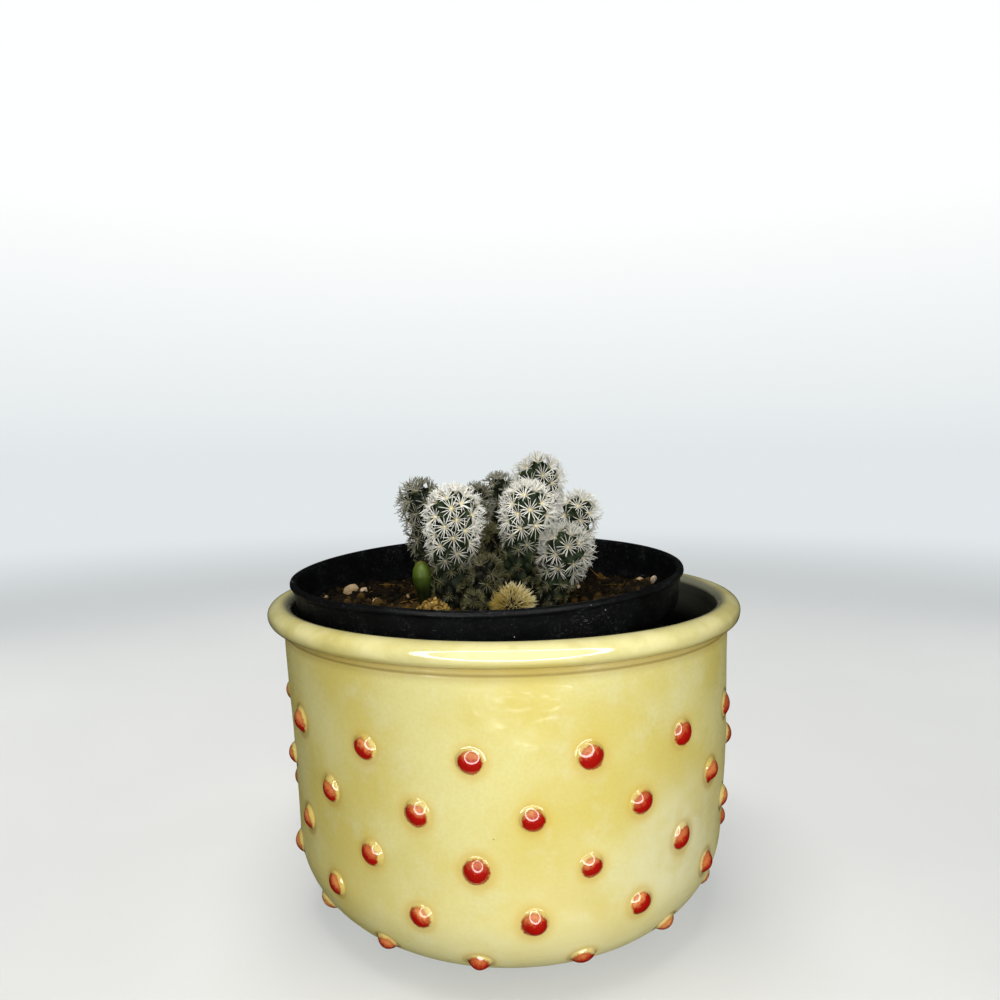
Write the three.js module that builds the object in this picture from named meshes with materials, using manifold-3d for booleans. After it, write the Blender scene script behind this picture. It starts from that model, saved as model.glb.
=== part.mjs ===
// A clump of thimble cactus in a thin black nursery pot, which stands askew inside a wide glazed
// cachepot with rows of raised dots.
// Millimetres, +Z up, +X to the right and +Y to the back. The origin is under the middle of the
// cachepot's mouth, on the surface that the cachepot stands on.
import * as THREE from "three";
import { ConvexHull } from "three/addons/math/ConvexHull.js";
import { ImprovedNoise } from "three/addons/math/ImprovedNoise.js";
import { mergeVertices } from "three/addons/utils/BufferGeometryUtils.js";
import Module from "manifold-3d";

const wasm = await Module();
wasm.setup();

// Cachepot: a thrown stoneware pot with a round heel, a nearly straight wall and a rolled rim
const GROOVE_Z = 84.2; // the thin groove under the rim
const GROOVE_RADIUS = 67;
const GROOVE_DEPTH = 0.3;
const GROOVE_HALF_HEIGHT = 1.6;
const WALL_TAPER = 0.0326; // radius that the outer wall loses for each millimetre below the groove
const WALL_THICKNESS = 4.8;
const FLOOR_THICKNESS = 5.4;
const HEEL_HEIGHT = 23.9;
const HEEL_INSET = 25.5; // from the wall in to the edge of the flat foot
const RIM = { radius: 67.8, z: 88, radial: 3.7, vertical: 3.1 }; // centre and half sizes of the roll
const RIM_START = -0.4 * Math.PI; // where the roll comes out of the groove, as an angle round its centre
const RIM_STEPS = 6;
const INNER_WALL_TOP = GROOVE_Z - 2;
const INNER_HEEL_STEPS = 3;
const FOOT_SHIFT = 1.2; // the foot sits this far to the right of the mouth
const LEAN_START = 40; // height where the wall begins to lean over to the mouth's place
const LOWEST_HEEL_RING = 1.3;

// Raised dots on the cachepot: staggered columns, three dots in one column and two in the next
const DOT_COLUMNS = 28;
const DOT_START = -7.4; // degrees from the front, of the column just left of the middle
const DOT_CROWDING = 0.05; // columns are closer together at the front than at the back by this share
const DOT_DROPS = [21.5, 35.6, 48.5, 61.6, 73.8]; // below the groove, top row to bottom row
const DOT_MARGIN = 6.6; // from the highest and the lowest row to the edge of the dotted band
const DOT_RADIUS = 2.9;
const DOT_HEIGHT = 2.4;
const DOT_CORNERS = 8; // as many as a cell of the pot's net has round its edge

// Nursery pot: a standard 12 cm pot of thin moulded plastic, tipped a little inside the cachepot
const NURSERY_HEIGHT = 91.3;
const NURSERY_RADIUS = 60; // outside of the lip
const NURSERY_BASE_RADIUS = 41;
const NURSERY_WALL = 1.2;
const COLLAR_HEIGHT = 10.5; // the straight band under the lip
const COLLAR_STEP = 1.5; // how far the collar stands out of the tapered wall
const COLLAR_SHOULDER = 1.2;
const COLLAR_DRAFT = 0.9;
const LIP_HEIGHT = 1.8;
const LIP_DEPTH = 0.9; // how far the lip stands out of the collar
const LIP_SLOPE = 0.5; // height of the slope under the lip
const LIP_DRAFT = 0.2;
const INNER_STEP_RISE = 0.4; // the inside turns in this much higher than the outside does
const NURSERY_RIM_CENTRE = new THREE.Vector3(-4.9, 0, 99.2);
const NURSERY_TILT_X = 0.044; // radians, the back is higher
const NURSERY_TILT_Y = -0.024; // radians, the right is higher
const NURSERY_SEGMENTS = 44;
const DRAIN_HOLES = 6;
const DRAIN_HOLE_RADIUS = 4.5;
const DRAIN_HOLE_SIDES = 8;
const DRAIN_CIRCLE = 29;

// Potting soil
const SOIL_LEVEL = 78.3; // above the nursery pot's base
const SOIL_LUMPS = [
  { wavelength: 11, height: 1.1 },
  { wavelength: 4.5, height: 0.7 },
];
const SOIL_RINGS = 6;
const SOIL_SEGMENTS = 32;
const SOIL_EDGE = 1.6; // the lumps begin this far above the top of the soil's smooth side
const SOIL_CLEARANCE = 0.45; // room between the soil's side and the nursery pot

const GAP = 0.35; // between pieces that rest in or against each other
const SOCKET_DEPTH = 3; // how deep a stem's foot stands in the soil
const SOCKET_PLAY = 1.4; // room round a stem's foot, for the tubercles just above it
const SOCKET_SIDES = 8;
const SOCKET_CUT = 6; // how far above the stem's foot the socket is cut, past the highest lump

// Cactus tubercles and spines
const TUBERCLE_DEPTH = 1.7; // how far the valleys between tubercles are pressed in
const AREOLE_RADIUS = 0.9; // the tip of a tubercle, where its spines start
const AREOLE_CROWN = 0.45;
const SPINE_LIFT = 0.9;
const SPINE_SHARE = 0.95; // of the way from the areole to the middle of the valley
const LOWEST_AREOLE = 2; // above the soil
const SPINE_REACH = 0.6; // longest spine, as a share of the distance between areoles
const STEM_THINNING = 1.8; // share by which an areole's room has grown at the foot of an old stem
const THINNING_START = 0.4; // share of the way down a head where that growth begins
const TURN_STEP = 1.7; // radians by which each head's first areole is turned from the last head's
const GOLDEN_ANGLE = Math.PI * (3 - Math.sqrt(5));

// The heads of the clump. Places are measured from the middle of the soil's surface, along the nursery
// pot's axes. Each head is a ball on a stem that narrows down to its foot, and the radius is taken to
// the tips of the tubercles.
const HEADS = [
  { name: "head_front_left", top: [-9.9, -3.3, 29.3], radius: 8.8, foot: [-13, -3.2], footRadius: 3.9 },
  { name: "head_front_middle", top: [13, -2.7, 30.2], radius: 8.2, foot: [7, -0.2], footRadius: 3.7 },
  { name: "head_front_right", top: [23.8, -10.8, 18.1], radius: 7.7, foot: [16.5, -6.8], footRadius: 3.1 },
  { name: "head_top", top: [17.2, 14.2, 38.7], radius: 8.2, foot: [12, 12.8], footRadius: 3.6 },
  { name: "head_back_left", top: [-21.9, 12.3, 32.1], radius: 6.6, foot: [-17, 8.3], footRadius: 3.4 },
  { name: "head_back_inner", top: [-3.2, 12.4, 32.4], radius: 4.6, foot: [-6, 8.8], footRadius: 3 },
  { name: "head_back_middle", top: [4, 20.5, 34.3], radius: 5.3, foot: [3, 15.8], footRadius: 3.2 },
  { name: "head_back_right", top: [30, 9.6, 26.3], radius: 6.7, foot: [21.5, 7.2], footRadius: 3.2 },
  { name: "head_low_front", top: [-0.5, -8.5, 12.2], radius: 4.6, foot: [-2, -8.2], footRadius: 3.2 },
  { name: "head_low_inner", top: [1.8, 4.7, 20.2], radius: 4, foot: [1, 5.3], footRadius: 2.8 },
];
const HEAD_SPACING = 5.9; // distance between neighbouring areoles

// The two offsets on the soil, with closer areoles
const OFFSETS = [
  {
    name: "offset_small",
    top: [-4.1, -14.9, 5.1],
    radius: 2.4,
    foot: [-5.5, -15.2],
    footRadius: 2.2,
    spacing: 3.2,
  },
  {
    name: "offset_straw",
    top: [6.9, -16.9, 3.1],
    radius: 6,
    foot: [7, -17.2],
    footRadius: 4.6,
    spacing: 4,
  },
];

// Other things on the soil, placed like the heads
const BUD = { name: "green_bud", foot: [-20, -3], tip: [-20.6, -3.4], height: 15.5, radius: 2.9 };
const BUD_SIDES = 12;
const BUD_OUTLINE = [
  { radius: 0, height: 0 },
  { radius: 0.6, height: 0 },
  { radius: 0.63, height: 0.2 },
  { radius: 0.85, height: 0.45 },
  { radius: 1, height: 0.68 },
  { radius: 0.86, height: 0.84 },
  { radius: 0.5, height: 0.96 },
  { radius: 0, height: 1 },
]; // shares of the bud's radius and length
const CRUMBS = {
  name: "dry_crumbs",
  centre: [-16.5, -13.5],
  foot: -1.5,
  core: [4.3, 3.2, 5.2],
  spread: [4, 3, 5.2],
  lumps: 6,
  smallest: 1.3,
  largest: 2,
  seed: 7,
};

const COLOURS = {
  glaze: 0xe3d78c,
  plastic: 0x111314,
  soil: 0x2a2116,
  head: 0xa9b09a,
  straw: 0xc4ad68,
  bud: 0x5d7a1f,
  crumbs: 0x8c6f35,
};

// Small helpers

function material(color, roughness) {
  return new THREE.MeshStandardMaterial({ color, roughness, metalness: 0 });
}

function namedMesh(name, geometry, surface) {
  const mesh = new THREE.Mesh(geometry, surface);
  mesh.name = name;
  return mesh;
}

function weld(geometry) {
  const bare = geometry.clone();
  bare.deleteAttribute("normal");
  bare.deleteAttribute("uv");
  return mergeVertices(bare, 1e-4);
}

function toSolid(geometry) {
  const welded = weld(geometry);
  return new wasm.Manifold(
    new wasm.Mesh({
      numProp: 3,
      vertProperties: new Float32Array(welded.attributes.position.array),
      triVerts: new Uint32Array(welded.index.array),
    }),
  );
}

function toGeometry(solid) {
  const mesh = solid.getMesh();
  const geometry = new THREE.BufferGeometry();
  geometry.setAttribute("position", new THREE.BufferAttribute(mesh.vertProperties, 3));
  geometry.setIndex(new THREE.BufferAttribute(mesh.triVerts, 1));
  geometry.computeVertexNormals();
  return geometry;
}

// Turns a profile of [radius, height] points about the Z axis.
function revolve(profile, segments) {
  const points = profile.map(([radius, z]) => new THREE.Vector2(radius, z));
  return new THREE.LatheGeometry(points, segments).rotateX(Math.PI / 2);
}

// A mesh from its corner points and its triangles, which are lists of three point numbers.
function netGeometry(points, triangles) {
  const geometry = new THREE.BufferGeometry().setFromPoints(points);
  geometry.setIndex(triangles.flat());
  geometry.computeVertexNormals();
  return geometry;
}

function moveVertices(geometry, change) {
  const position = geometry.attributes.position;
  const point = new THREE.Vector3();
  for (let i = 0; i < position.count; i++) {
    point.fromBufferAttribute(position, i);
    change(point);
    position.setXYZ(i, point.x, point.y, point.z);
  }
  return geometry;
}

function seededRandom(seed) {
  let state = seed;
  return () => {
    state = (state + 0x6d2b79f5) | 0;
    let mixed = Math.imul(state ^ (state >>> 15), 1 | state);
    mixed = (mixed + Math.imul(mixed ^ (mixed >>> 7), 61 | mixed)) ^ mixed;
    return ((mixed ^ (mixed >>> 14)) >>> 0) / 4294967296;
  };
}

// Cachepot

function potWallRadius(z) {
  return GROOVE_RADIUS - WALL_TAPER * (GROOVE_Z - z);
}

const FOOT_RADIUS = potWallRadius(HEEL_HEIGHT) - HEEL_INSET;

// Radius and outward direction of the outer skin: a quarter ellipse at the heel, then the wall.
function potSkin(z) {
  if (z >= HEEL_HEIGHT) {
    return { radius: potWallRadius(z), slope: 0 };
  }
  const turn = Math.acos(1 - z / HEEL_HEIGHT);
  const slope = Math.atan2(Math.cos(turn) / HEEL_HEIGHT, Math.sin(turn) / HEEL_INSET);
  return { radius: FOOT_RADIUS + HEEL_INSET * Math.sin(turn), slope };
}

// Rings of the outer skin from the foot up to the lowest dots, as [radius, z].
function footRings() {
  return [
    [FOOT_RADIUS, 0],
    [potSkin(LOWEST_HEEL_RING).radius, LOWEST_HEEL_RING],
  ];
}

// Rings from the wall above the dots over the rim and down the inside to the floor.
function mouthRings() {
  const rings = [
    [potWallRadius(GROOVE_Z - GROOVE_HALF_HEIGHT), GROOVE_Z - GROOVE_HALF_HEIGHT],
    [GROOVE_RADIUS - GROOVE_DEPTH, GROOVE_Z],
  ];
  for (let i = 0; i <= RIM_STEPS; i++) {
    const turn = THREE.MathUtils.lerp(RIM_START, Math.PI, i / RIM_STEPS);
    rings.push([RIM.radius + RIM.radial * Math.cos(turn), RIM.z + RIM.vertical * Math.sin(turn)]);
  }
  rings.push([potWallRadius(INNER_WALL_TOP) - WALL_THICKNESS, INNER_WALL_TOP]);
  for (let i = INNER_HEEL_STEPS; i >= 0; i--) {
    const turn = ((i / INNER_HEEL_STEPS) * Math.PI) / 2;
    rings.push([
      FOOT_RADIUS + (HEEL_INSET - WALL_THICKNESS) * Math.sin(turn),
      HEEL_HEIGHT - (HEEL_HEIGHT - FLOOR_THICKNESS) * Math.cos(turn),
    ]);
  }
  return rings;
}

// Angle from the front of the pot, growing to the right, of a place counted in columns of dots.
function columnAngle(column) {
  const even = (column / DOT_COLUMNS) * 2 * Math.PI;
  return THREE.MathUtils.degToRad(DOT_START) + even - DOT_CROWDING * Math.sin(even);
}

function roundPoint(radius, angle, z) {
  return new THREE.Vector3(radius * Math.sin(angle), -radius * Math.cos(angle), z);
}

// The heights between rows of dots, lowest first.
function dotRowEdges() {
  const drops = [DOT_DROPS[0] - DOT_MARGIN];
  for (let row = 1; row < DOT_DROPS.length; row++) {
    drops.push((DOT_DROPS[row - 1] + DOT_DROPS[row]) / 2);
  }
  drops.push(DOT_DROPS[DOT_DROPS.length - 1] + DOT_MARGIN);
  return drops.map((drop) => GROOVE_Z - drop).reverse();
}

// The pot is one net. Its vertices stand in rings of two to each column of dots, one in the middle of
// the column and one at its edge, and a dot fills one cell of the net with rings of its own.
function buildCachepot() {
  const vertices = [];
  const faces = [];
  const addVertex = (point) => vertices.push(point) - 1;
  const count = 2 * DOT_COLUMNS;
  const addRing = ([radius, z]) =>
    Array.from({ length: count }, (_, i) => addVertex(roundPoint(radius, columnAngle(i / 2), z)));
  const addQuad = (a, b, c, d) => faces.push([a, b, c], [a, c, d]);
  const addBand = (lower, upper) =>
    lower.forEach((_, i) => {
      const next = (i + 1) % count;
      addQuad(lower[i], lower[next], upper[next], upper[i]);
    });
  const joinLoops = (outer, inner) =>
    outer.forEach((_, i) => {
      const next = (i + 1) % outer.length;
      addQuad(outer[i], outer[next], inner[next], inner[i]);
    });

  // One step of a dot's dome: a loop of as many vertices as the cell has round its edge.
  const addDotLoop = (column, z, turn) => {
    const { slope } = potSkin(z);
    const width = DOT_RADIUS * Math.cos(turn);
    const lift = DOT_HEIGHT * Math.sin(turn);
    return Array.from({ length: DOT_CORNERS }, (_, i) => {
      const round = (i / DOT_CORNERS) * 2 * Math.PI - 0.75 * Math.PI;
      const height = z + width * Math.sin(round) * Math.cos(slope);
      const { radius } = potSkin(height);
      const angle = columnAngle(column) + (width * Math.cos(round)) / radius;
      return addVertex(
        roundPoint(radius + lift * Math.cos(slope), angle, height - lift * Math.sin(slope)),
      );
    });
  };

  const addDot = (column, z, edge) => {
    const { radius, slope } = potSkin(z);
    const rise = DOT_HEIGHT * Math.cos(slope);
    const top = roundPoint(radius + rise, columnAngle(column), z - DOT_HEIGHT * Math.sin(slope));
    const base = addDotLoop(column, z, 0);
    const shoulder = addDotLoop(column, z, Math.PI / 4);
    const crown = addVertex(top);
    joinLoops(edge, base);
    joinLoops(base, shoulder);
    shoulder.forEach((corner, i) => faces.push([corner, shoulder[(i + 1) % DOT_CORNERS], crown]));
  };

  const skinRing = (z) => addRing([potSkin(z).radius, z]);
  const foot = footRings().map(addRing);
  const rowEdges = dotRowEdges().map(skinRing);
  const mouth = mouthRings().map(addRing);

  DOT_DROPS.forEach((drop, row) => {
    const z = GROOVE_Z - drop;
    const upper = rowEdges[DOT_DROPS.length - row];
    const lower = rowEdges[DOT_DROPS.length - row - 1];
    const middle = skinRing(z);
    for (let column = 0; column < DOT_COLUMNS; column++) {
      const centre = 2 * column;
      const right = centre + 1;
      const left = (centre + count - 1) % count;
      if (row % 2 === column % 2) {
        const edge = [lower[left], lower[centre], lower[right], middle[right]];
        edge.push(upper[right], upper[centre], upper[left], middle[left]);
        addDot(column, z, edge);
      } else {
        addQuad(lower[left], lower[centre], middle[centre], middle[left]);
        addQuad(lower[centre], lower[right], middle[right], middle[centre]);
        addQuad(middle[left], middle[centre], upper[centre], upper[left]);
        addQuad(middle[centre], middle[right], upper[right], upper[centre]);
      }
    }
  });

  const footCentre = addVertex(new THREE.Vector3());
  const floorCentre = addVertex(new THREE.Vector3(0, 0, FLOOR_THICKNESS));
  const floor = mouth[mouth.length - 1];
  foot[0].forEach((corner, i) => faces.push([footCentre, foot[0][(i + 1) % count], corner]));
  floor.forEach((corner, i) => faces.push([corner, floor[(i + 1) % count], floorCentre]));
  addBand(foot[0], foot[1]);
  addBand(foot[1], rowEdges[0]);
  addBand(rowEdges[rowEdges.length - 1], mouth[0]);
  for (let i = 1; i < mouth.length; i++) {
    addBand(mouth[i - 1], mouth[i]);
  }

  for (const point of vertices) {
    point.x += FOOT_SHIFT * (1 - THREE.MathUtils.smoothstep(point.z, LEAN_START, GROOVE_Z));
  }
  return netGeometry(vertices, faces);
}

// Nursery pot

function nurseryWallRadius(z) {
  const top = NURSERY_HEIGHT - COLLAR_HEIGHT - COLLAR_SHOULDER;
  const topRadius = NURSERY_RADIUS - LIP_DEPTH - COLLAR_DRAFT - COLLAR_STEP;
  return THREE.MathUtils.mapLinear(z, 0, top, NURSERY_BASE_RADIUS, topRadius);
}

function nurseryProfile() {
  const collarFoot = NURSERY_HEIGHT - COLLAR_HEIGHT;
  const lipFoot = NURSERY_HEIGHT - LIP_HEIGHT;
  const collarTopRadius = NURSERY_RADIUS - LIP_DEPTH;
  const collarFootRadius = collarTopRadius - COLLAR_DRAFT;
  const shoulder = collarFoot - COLLAR_SHOULDER;
  return [
    [0, 0],
    [NURSERY_BASE_RADIUS, 0],
    [nurseryWallRadius(shoulder), shoulder],
    [collarFootRadius, collarFoot],
    [collarTopRadius, lipFoot],
    [NURSERY_RADIUS, lipFoot + LIP_SLOPE],
    [NURSERY_RADIUS - LIP_DRAFT, NURSERY_HEIGHT],
    [collarTopRadius - NURSERY_WALL + LIP_SLOPE, NURSERY_HEIGHT],
    [collarTopRadius - NURSERY_WALL, lipFoot],
    [collarFootRadius - NURSERY_WALL, collarFoot + INNER_STEP_RISE],
    [nurseryWallRadius(shoulder) - NURSERY_WALL, shoulder + INNER_STEP_RISE],
    [nurseryWallRadius(NURSERY_WALL) - NURSERY_WALL, NURSERY_WALL],
    [0, NURSERY_WALL],
  ];
}

function buildNurseryPot() {
  let pot = toSolid(revolve(nurseryProfile(), NURSERY_SEGMENTS));
  for (let i = 0; i < DRAIN_HOLES; i++) {
    const angle = ((i + 0.5) / DRAIN_HOLES) * 2 * Math.PI;
    const length = 4 * NURSERY_WALL;
    const radius = DRAIN_HOLE_RADIUS;
    const hole = new THREE.CylinderGeometry(radius, radius, length, DRAIN_HOLE_SIDES);
    hole.rotateX(Math.PI / 2);
    hole.translate(DRAIN_CIRCLE * Math.cos(angle), DRAIN_CIRCLE * Math.sin(angle), NURSERY_WALL / 2);
    pot = pot.subtract(toSolid(hole));
  }
  return toGeometry(pot);
}

// Potting soil, which fills the nursery pot up to the plant's frame at z = 0

const soilNoise = new ImprovedNoise();

function soilHeight(x, y) {
  return SOIL_LUMPS.reduce(
    (height, lump) =>
      height + lump.height * soilNoise.noise(x / lump.wavelength, y / lump.wavelength, lump.wavelength),
    0,
  );
}

// A stem's frame, with its origin at the middle of the foot and +Z along the stem.
function stemFrame(stem) {
  const up = new THREE.Vector3().subVectors(stem.topPoint, stem.footPoint).normalize();
  const turn = new THREE.Quaternion().setFromUnitVectors(new THREE.Vector3(0, 0, 1), up);
  return new THREE.Matrix4().compose(stem.footPoint, turn, new THREE.Vector3(1, 1, 1));
}

function socket(stem) {
  const radius = stem.footRadius + SOCKET_PLAY;
  const hole = new THREE.CylinderGeometry(radius, radius, SOCKET_CUT + GAP, SOCKET_SIDES);
  hole.rotateX(Math.PI / 2);
  hole.translate(0, 0, (SOCKET_CUT - GAP) / 2);
  hole.applyMatrix4(stemFrame(stem));
  return toSolid(hole);
}

function buildSoil(stems) {
  const topRadius = nurseryWallRadius(SOIL_LEVEL - SOIL_EDGE) - NURSERY_WALL - SOIL_CLEARANCE;
  const base = NURSERY_WALL + GAP - SOIL_LEVEL;
  const profile = [
    [0, base],
    [nurseryWallRadius(NURSERY_WALL) - NURSERY_WALL - SOIL_CLEARANCE, base],
    [topRadius, -SOIL_EDGE],
  ];
  for (let ring = SOIL_RINGS; ring >= 0; ring--) {
    profile.push([(topRadius * ring) / SOIL_RINGS, 0]);
  }
  const lumpy = moveVertices(weld(revolve(profile, SOIL_SEGMENTS)), (point) => {
    if (point.z > -SOIL_EDGE / 2) {
      point.z += soilHeight(point.x, point.y);
    }
  });
  return toGeometry(stems.reduce((soil, stem) => soil.subtract(socket(stem)), toSolid(lumpy)));
}

// Cactus heads

// Distance from a point to a stem: the hull of a small ball at its foot and a large ball at its top.
function stemDistance(point, stem) {
  const along = new THREE.Vector3().subVectors(stem.topPoint, stem.footPoint);
  const length = along.length();
  const toPoint = new THREE.Vector3().subVectors(point, stem.footPoint);
  const height = toPoint.dot(along) / length;
  const reach = Math.sqrt(Math.max(toPoint.lengthSq() - height * height, 0));
  const lean = (stem.footRadius - stem.radius) / length;
  const flank = Math.sqrt(1 - lean * lean);
  const place = height * flank - reach * lean;
  if (place < 0) {
    return Math.hypot(reach, height) - stem.footRadius;
  }
  if (place > flank * length) {
    return Math.hypot(reach, height - length) - stem.radius;
  }
  return reach * flank + height * lean - stem.footRadius;
}

// The outline of a head, by the distance along it from the apex: first the ball, then the straight flank.
function headOutline(head) {
  const length = head.topPoint.distanceTo(head.footPoint);
  const lean = Math.asin((head.radius - head.footRadius) / length);
  const domeLength = head.radius * (Math.PI / 2 + lean);
  const end = domeLength + length * Math.cos(lean);
  const at = (distance) => {
    const turn = Math.min(distance, domeLength) / head.radius;
    const flank = Math.max(distance - domeLength, 0);
    return {
      radius: head.radius * Math.sin(turn) - flank * Math.sin(lean),
      z: length + head.radius * Math.cos(turn) - flank * Math.cos(lean),
      outward: Math.sin(turn),
      upward: Math.cos(turn),
    };
  };
  return { at, end };
}

// Areoles sit on the outline in golden-angle order, each with an equal share of the surface. Every one
// also gets a direction on a unit sphere that keeps the angles of the real surface, so that a hull of
// those directions joins each areole to its true neighbours.
function placeAreoles(head) {
  const outline = headOutline(head);
  const step = 0.05;
  const cell = (Math.sqrt(3) / 2) * head.spacing ** 2;
  const areoles = [];
  let cells = 0;
  let stretch = 0;
  for (let distance = step; distance < outline.end; distance += step) {
    const spot = outline.at(distance);
    const old = Math.max(distance / outline.end - THINNING_START, 0) / (1 - THINNING_START);
    cells += (2 * Math.PI * spot.radius * step) / (cell * (1 + STEM_THINNING * old));
    stretch += step / Math.max(spot.radius, step);
    if (cells > areoles.length + 0.5 && spot.z > SOCKET_DEPTH + LOWEST_AREOLE) {
      const angle = areoles.length * GOLDEN_ANGLE + head.phase;
      const around = new THREE.Vector3(Math.cos(angle), Math.sin(angle), 0);
      areoles.push({
        stretch,
        around,
        place: around.clone().multiplyScalar(spot.radius).setZ(spot.z),
        normal: around.clone().multiplyScalar(spot.outward).setZ(spot.upward),
      });
    }
  }
  const middle = (areoles[0].stretch + areoles[areoles.length - 1].stretch) / 2;
  for (const areole of areoles) {
    const polar = 2 * Math.atan(Math.exp(areole.stretch - middle));
    areole.direction = areole.around.clone().multiplyScalar(Math.sin(polar)).setZ(Math.cos(polar));
  }
  return areoles;
}

// The triangles that join neighbouring areoles. The last number stands for the foot of the stem.
function neighbourTriangles(areoles) {
  const points = areoles.map((areole) => areole.direction);
  points.push(new THREE.Vector3(0, 0, -1));
  const numbers = new Map(points.map((point, number) => [point, number]));
  return new ConvexHull().setFromPoints(points).faces.map((face) => {
    const corners = [face.edge, face.edge.next, face.edge.prev];
    return corners.map((edge) => numbers.get(edge.head().point));
  });
}

// The valley in the middle of three areoles, or for the lowest ones a corner of the stem's foot.
function valleyPoint(triangle, areoles, footRadius) {
  const around = triangle.filter((number) => number < areoles.length).map((number) => areoles[number]);
  const middle = new THREE.Vector3();
  const normal = new THREE.Vector3();
  for (const areole of around) {
    middle.addScaledVector(areole.place, 1 / around.length);
    normal.add(areole.normal);
  }
  if (around.length < 3) {
    return middle.setZ(0).setLength(footRadius);
  }
  return middle.addScaledVector(normal.normalize(), -TUBERCLE_DEPTH);
}

// Numbers of the triangles round one corner, anticlockwise seen from outside.
function ringOfTriangles(triangles, corner) {
  const next = new Map();
  triangles.forEach((triangle, number) => {
    const here = triangle.indexOf(corner);
    if (here >= 0) {
      next.set(triangle[(here + 1) % 3], { number, end: triangle[(here + 2) % 3] });
    }
  });
  const start = next.keys().next().value;
  const ring = [];
  let at = start;
  do {
    ring.push(next.get(at).number);
    at = next.get(at).end;
  } while (at !== start);
  return ring;
}

// The last point on the way from a safe point to a wanted one that is still clear of everything else.
function clearPoint(safe, wanted, isClear) {
  const halvings = 8;
  if (isClear(wanted)) {
    return wanted;
  }
  let clear = 0;
  let blocked = 1;
  for (let i = 0; i < halvings; i++) {
    const share = (clear + blocked) / 2;
    if (isClear(new THREE.Vector3().lerpVectors(safe, wanted, share))) {
      clear = share;
    } else {
      blocked = share;
    }
  }
  return new THREE.Vector3().lerpVectors(safe, wanted, clear);
}

// One head: tubercles that meet in valleys, each with a star of spines from its tip.
function buildHead(head, stems) {
  const areoles = placeAreoles(head);
  const triangles = neighbourTriangles(areoles);
  const frame = stemFrame(head);
  const others = stems.filter((stem) => stem !== head);
  const isClear = (localPoint) => {
    const point = localPoint.clone().applyMatrix4(frame);
    const own = Math.max(stemDistance(point, head), 0);
    return (
      point.z > soilHeight(point.x, point.y) + 2 * GAP &&
      others.every((stem) => stemDistance(point, stem) > own + GAP)
    );
  };

  const vertices = [];
  const faces = [];
  const addVertex = (point) => vertices.push(point) - 1;
  const valleys = triangles.map((triangle) => addVertex(valleyPoint(triangle, areoles, head.footRadius)));

  areoles.forEach((areole, number) => {
    const { place, normal } = areole;
    const ring = ringOfTriangles(triangles, number).map((triangle) => valleys[triangle]);
    const inside = place.clone().addScaledVector(normal, -TUBERCLE_DEPTH);
    const outTo = (valley) => vertices[valley].clone().sub(place).projectOnPlane(normal);
    const crown = addVertex(place.clone().addScaledVector(normal, AREOLE_CROWN));
    const collar = ring.map((valley, i) => {
      const next = ring[(i + 1) % ring.length];
      const side = outTo(valley).normalize().add(outTo(next).normalize()).setLength(AREOLE_RADIUS);
      return addVertex(clearPoint(inside, side.add(place), isClear));
    });
    ring.forEach((valley, i) => {
      const before = collar[(i + ring.length - 1) % ring.length];
      const after = collar[i];
      const out = outTo(valley);
      out.setLength(Math.min(SPINE_SHARE * out.length(), head.reach));
      const wanted = out.add(place).addScaledVector(normal, SPINE_LIFT);
      const tip = addVertex(clearPoint(place, wanted, isClear));
      faces.push([crown, before, tip], [crown, tip, after], [tip, before, after]);
      faces.push([after, before, valley], [after, valley, ring[(i + 1) % ring.length]]);
    });
  });

  const foot = ringOfTriangles(triangles, areoles.length).map((triangle) => valleys[triangle]);
  for (let i = 1; i < foot.length - 1; i++) {
    faces.push([foot[0], foot[i], foot[i + 1]]);
  }
  return netGeometry(vertices, faces);
}

// Green bud: a smooth drop on a short foot

function buildBud(stem) {
  const length = stem.topPoint.distanceTo(stem.footPoint) + stem.radius;
  const profile = BUD_OUTLINE.map(({ radius, height }) => [radius * stem.radius, height * length]);
  return revolve(profile, BUD_SIDES);
}

// Dry crumbs: a low mound of broken, straw-coloured bits

function buildCrumbs() {
  const random = seededRandom(CRUMBS.seed);
  const [spreadX, spreadY, spreadZ] = CRUMBS.spread;
  let mound = toSolid(new THREE.IcosahedronGeometry(1, 0).scale(...CRUMBS.core));
  for (let i = 0; i < CRUMBS.lumps; i++) {
    const angle = i * GOLDEN_ANGLE;
    const share = Math.sqrt((i + 0.5) / CRUMBS.lumps);
    const rise = Math.sqrt(1 - 0.9 * share * share);
    const size = THREE.MathUtils.lerp(CRUMBS.smallest, CRUMBS.largest, random());
    const lump = new THREE.IcosahedronGeometry(size, 0);
    lump.rotateX(random() * Math.PI).rotateZ(random() * Math.PI);
    lump.translate(spreadX * share * Math.cos(angle), spreadY * share * Math.sin(angle), spreadZ * rise);
    mound = mound.add(toSolid(lump));
  }
  const depth = 2 * spreadX;
  const under = new THREE.BoxGeometry(2 * depth, 2 * depth, depth).translate(0, 0, -depth / 2);
  return toGeometry(mound.subtract(toSolid(under)));
}

// Assembly

const stems = [...HEADS, ...OFFSETS].map((head, number) => ({
  spacing: HEAD_SPACING,
  ...head,
  reach: SPINE_REACH * (head.spacing ?? HEAD_SPACING),
  phase: number * TURN_STEP,
  topPoint: new THREE.Vector3(...head.top),
  footPoint: new THREE.Vector3(...head.foot, -SOCKET_DEPTH),
}));

const budStem = {
  footPoint: new THREE.Vector3(...BUD.foot, -SOCKET_DEPTH),
  topPoint: new THREE.Vector3(...BUD.tip, BUD.height - BUD.radius),
  footRadius: BUD_OUTLINE[1].radius * BUD.radius,
  radius: BUD.radius,
};

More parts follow.
